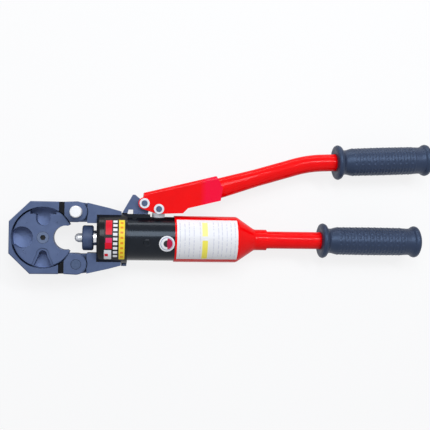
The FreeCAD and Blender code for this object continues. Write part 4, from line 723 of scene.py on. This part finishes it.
def makePip(count, degrees, index):
    # a dome turned about its own axis: height is the root of one less the square of its share of reach
    look = nestMarks
    share = np.concatenate([[0], np.linspace(1, 0, look["rows"])])
    rise = np.concatenate([[-look["sunk"]], look["high"] * np.sqrt(1 - share[1:] ** 2)])
    around = np.linspace(0, 2 * math.pi, look["columns"], endpoint=False)[None, :]
    turn = math.radians(degrees)
    aside = (index - (count - 1) / 2) * look["pitch"]
    low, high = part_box("die_disc")
    centreX = (low.x + high.x) / 2 / mm + look["reach"] * math.cos(turn) - aside * math.sin(turn)
    centreY = (low.y + high.y) / 2 / mm + look["reach"] * math.sin(turn) + aside * math.cos(turn)
    reach = look["radius"] * share[:, None]
    x = centreX + reach * np.cos(around)
    y = centreY + reach * np.sin(around)
    z = (high.z / mm + rise[:, None]) * np.ones_like(around)
    name = "nestPip" + str(degrees) + "_" + str(index + 1)
    return weld(gridMesh(name, np.stack([x, y, z], axis=-1) * mm, closeRound=True))


for count, degrees in nestMarks["marks"]:
    for index in range(count):
        pip = makePip(count, degrees, index)
        pip.data.materials.append(specialFinish["die_disc"])
        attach(pip, "disc")
print("nest pips made")


# Finishes of the solids

slotOfNode = {part["node"]: part["material_slot"] for part in frame["record"]["subparts"]}
specialFinish["yoke"] = makeYokeFinish()
for name, solid in nodes.items():
    material = specialFinish.get(name, finishes[slotOfNode[name]])
    if not solid.material_slots:
        solid.data.materials.append(material)
    for slot in solid.material_slots:
        slot.material = material
print("solids finished:", len(nodes))


# Studio: pale floor, soft light and the camera

studio = {
    "floorGap": 0.4 * mm, "floorSize": 6.0, "floorColour": (0.975, 0.975, 0.98),
    "floorShade": (0.40, 0.40, 0.42), "floorGlow": 0.84, "ambient": 0.34, "seen": 0.97,
    "floorRough": 0.9, "floorSpecular": 0.1,
}


def seenRays(tree):
    # 1 where the camera, a mirror or glass looks at the background, and 0 for the light it sheds
    rays = addNode(tree, "LightPath")
    direct = math2(tree, "MAXIMUM", rays.outputs["Is Camera Ray"], rays.outputs["Is Transmission Ray"])
    return math2(tree, "MAXIMUM", direct, rays.outputs["Is Glossy Ray"])


def makeFloor():
    # a flat square below the object; where it is seen it glows, elsewhere it is a grey that sheds less light
    low, high = solidBox
    half = studio["floorSize"] / 2
    z = low[2] - studio["floorGap"]
    corners = [(-half, -half, z), (half, -half, z), (half, half, z), (-half, half, z)]
    mesh = bpy.data.meshes.new("studioFloor")
    mesh.from_pydata(corners, [], [(0, 1, 2, 3)])
    floor = bpy.data.objects.new("studioFloor", mesh)
    bpy.context.scene.collection.objects.link(floor)
    material, tree, shader = newFinish("floorPaper")[:3]
    shader.inputs["Roughness"].default_value = studio["floorRough"]
    shader.inputs["Specular IOR Level"].default_value = studio["floorSpecular"]
    seen = seenRays(tree)
    paper = blendColour(tree, seen, studio["floorShade"], studio["floorColour"])
    tree.links.new(paper, shader.inputs["Base Color"])
    seen = math2(tree, "MULTIPLY", seen, studio["floorGlow"])
    glow = addNode(tree, "Emission", {"Color": (*studio["floorColour"], 1), "Strength": 1.0})
    mixer = addNode(tree, "MixShader", {"Fac": seen})
    tree.links.new(shader.outputs[0], mixer.inputs[1])
    tree.links.new(glow.outputs[0], mixer.inputs[2])
    tree.links.new(mixer.outputs[0], tree.nodes["Material Output"].inputs["Surface"])
    floor.data.materials.append(material)


def makeWorld():
    # strength: ambient for the light it sheds, and the seen strength where it is looked at
    world = bpy.data.worlds.new("studioWorld")
    bpy.context.scene.world = world
    world.use_nodes = True
    tree = world.node_tree
    back = tree.nodes["Background"]
    back.inputs["Color"].default_value = (1.0, 1.0, 1.0, 1)
    gain = math2(tree, "MULTIPLY", seenRays(tree), studio["seen"] - studio["ambient"])
    tree.links.new(math2(tree, "ADD", gain, studio["ambient"]), back.inputs["Strength"])


lamps = {
    "ceiling": {"at": (0.08, 0.62, 1.25), "aim": (0.12, 0.02, 0.0), "size": (0.55, 0.62),
                "power": 8.2, "colour": (0.88, 0.94, 1.0)},
    "gripStrip": {"at": (0.77, 0.52, 1.20), "aim": (0.50, 0.05, 0.0), "size": (0.62, 0.09),
                  "power": 6.0, "colour": (0.93, 0.95, 1.0)},
    "upperStrip": {"at": (0.18, 1.15, 0.13), "aim": (0.18, 0.0, 0.02), "size": (1.30, 0.22),
                   "power": 4.0, "colour": (1.0, 0.99, 0.97)},
    "leftFill": {"at": (-0.90, -0.30, 0.90), "aim": (0.05, 0.0, 0.0), "size": (0.60, 0.60),
                 "power": 1.2, "colour": (0.94, 0.96, 1.0)},
}


def makeLamp(name, values):
    # a rectangle of light at one point, turned towards another
    data = bpy.data.lights.new(name, "AREA")
    data.shape = "RECTANGLE"
    data.size, data.size_y = values["size"]
    data.energy = values["power"]
    data.color = values["colour"]
    lamp = bpy.data.objects.new(name, data)
    lamp.location = values["at"]
    lamp.rotation_euler = (Vector(values["aim"]) - Vector(values["at"])).to_track_quat("-Z", "Y").to_euler()
    bpy.context.scene.collection.objects.link(lamp)


cameraLook = {
    "foot": (0.0642, 0.03095), "height": 0.881, "tilt": 7.8, "roll": 0.99,
    "focalPixels": 700.0, "pictureWide": 430.0, "sensor": 36.0, "near": 0.01,
}


def makeCamera():
    # Looks down, tilted about Y towards the grips and rolled a little about its own line of sight.
    look = cameraLook
    tilt, roll = math.radians(look["tilt"]), math.radians(look["roll"])
    sight = Vector((math.sin(tilt), 0, -math.cos(tilt)))
    right = Vector((math.cos(tilt), 0, math.sin(tilt)))
    up = Vector((0, 1, 0))
    turnedRight = right * math.cos(roll) + up * math.sin(roll)
    turnedUp = up * math.cos(roll) - right * math.sin(roll)
    turn = Matrix((turnedRight, turnedUp, -sight)).transposed()
    data = bpy.data.cameras.new("photoCamera")
    data.sensor_width = look["sensor"]
    data.lens = look["focalPixels"] / look["pictureWide"] * look["sensor"]
    data.clip_start = look["near"]
    camera = bpy.data.objects.new("photoCamera", data)
    camera.matrix_world = Matrix.Translation((*look["foot"], look["height"])) @ turn.to_4x4()
    bpy.context.scene.collection.objects.link(camera)
    bpy.context.scene.camera = camera


makeFloor()
makeWorld()
for lampName, values in lamps.items():
    makeLamp(lampName, values)
makeCamera()
bpy.context.scene.view_settings.view_transform = "Standard"
print("studio made")
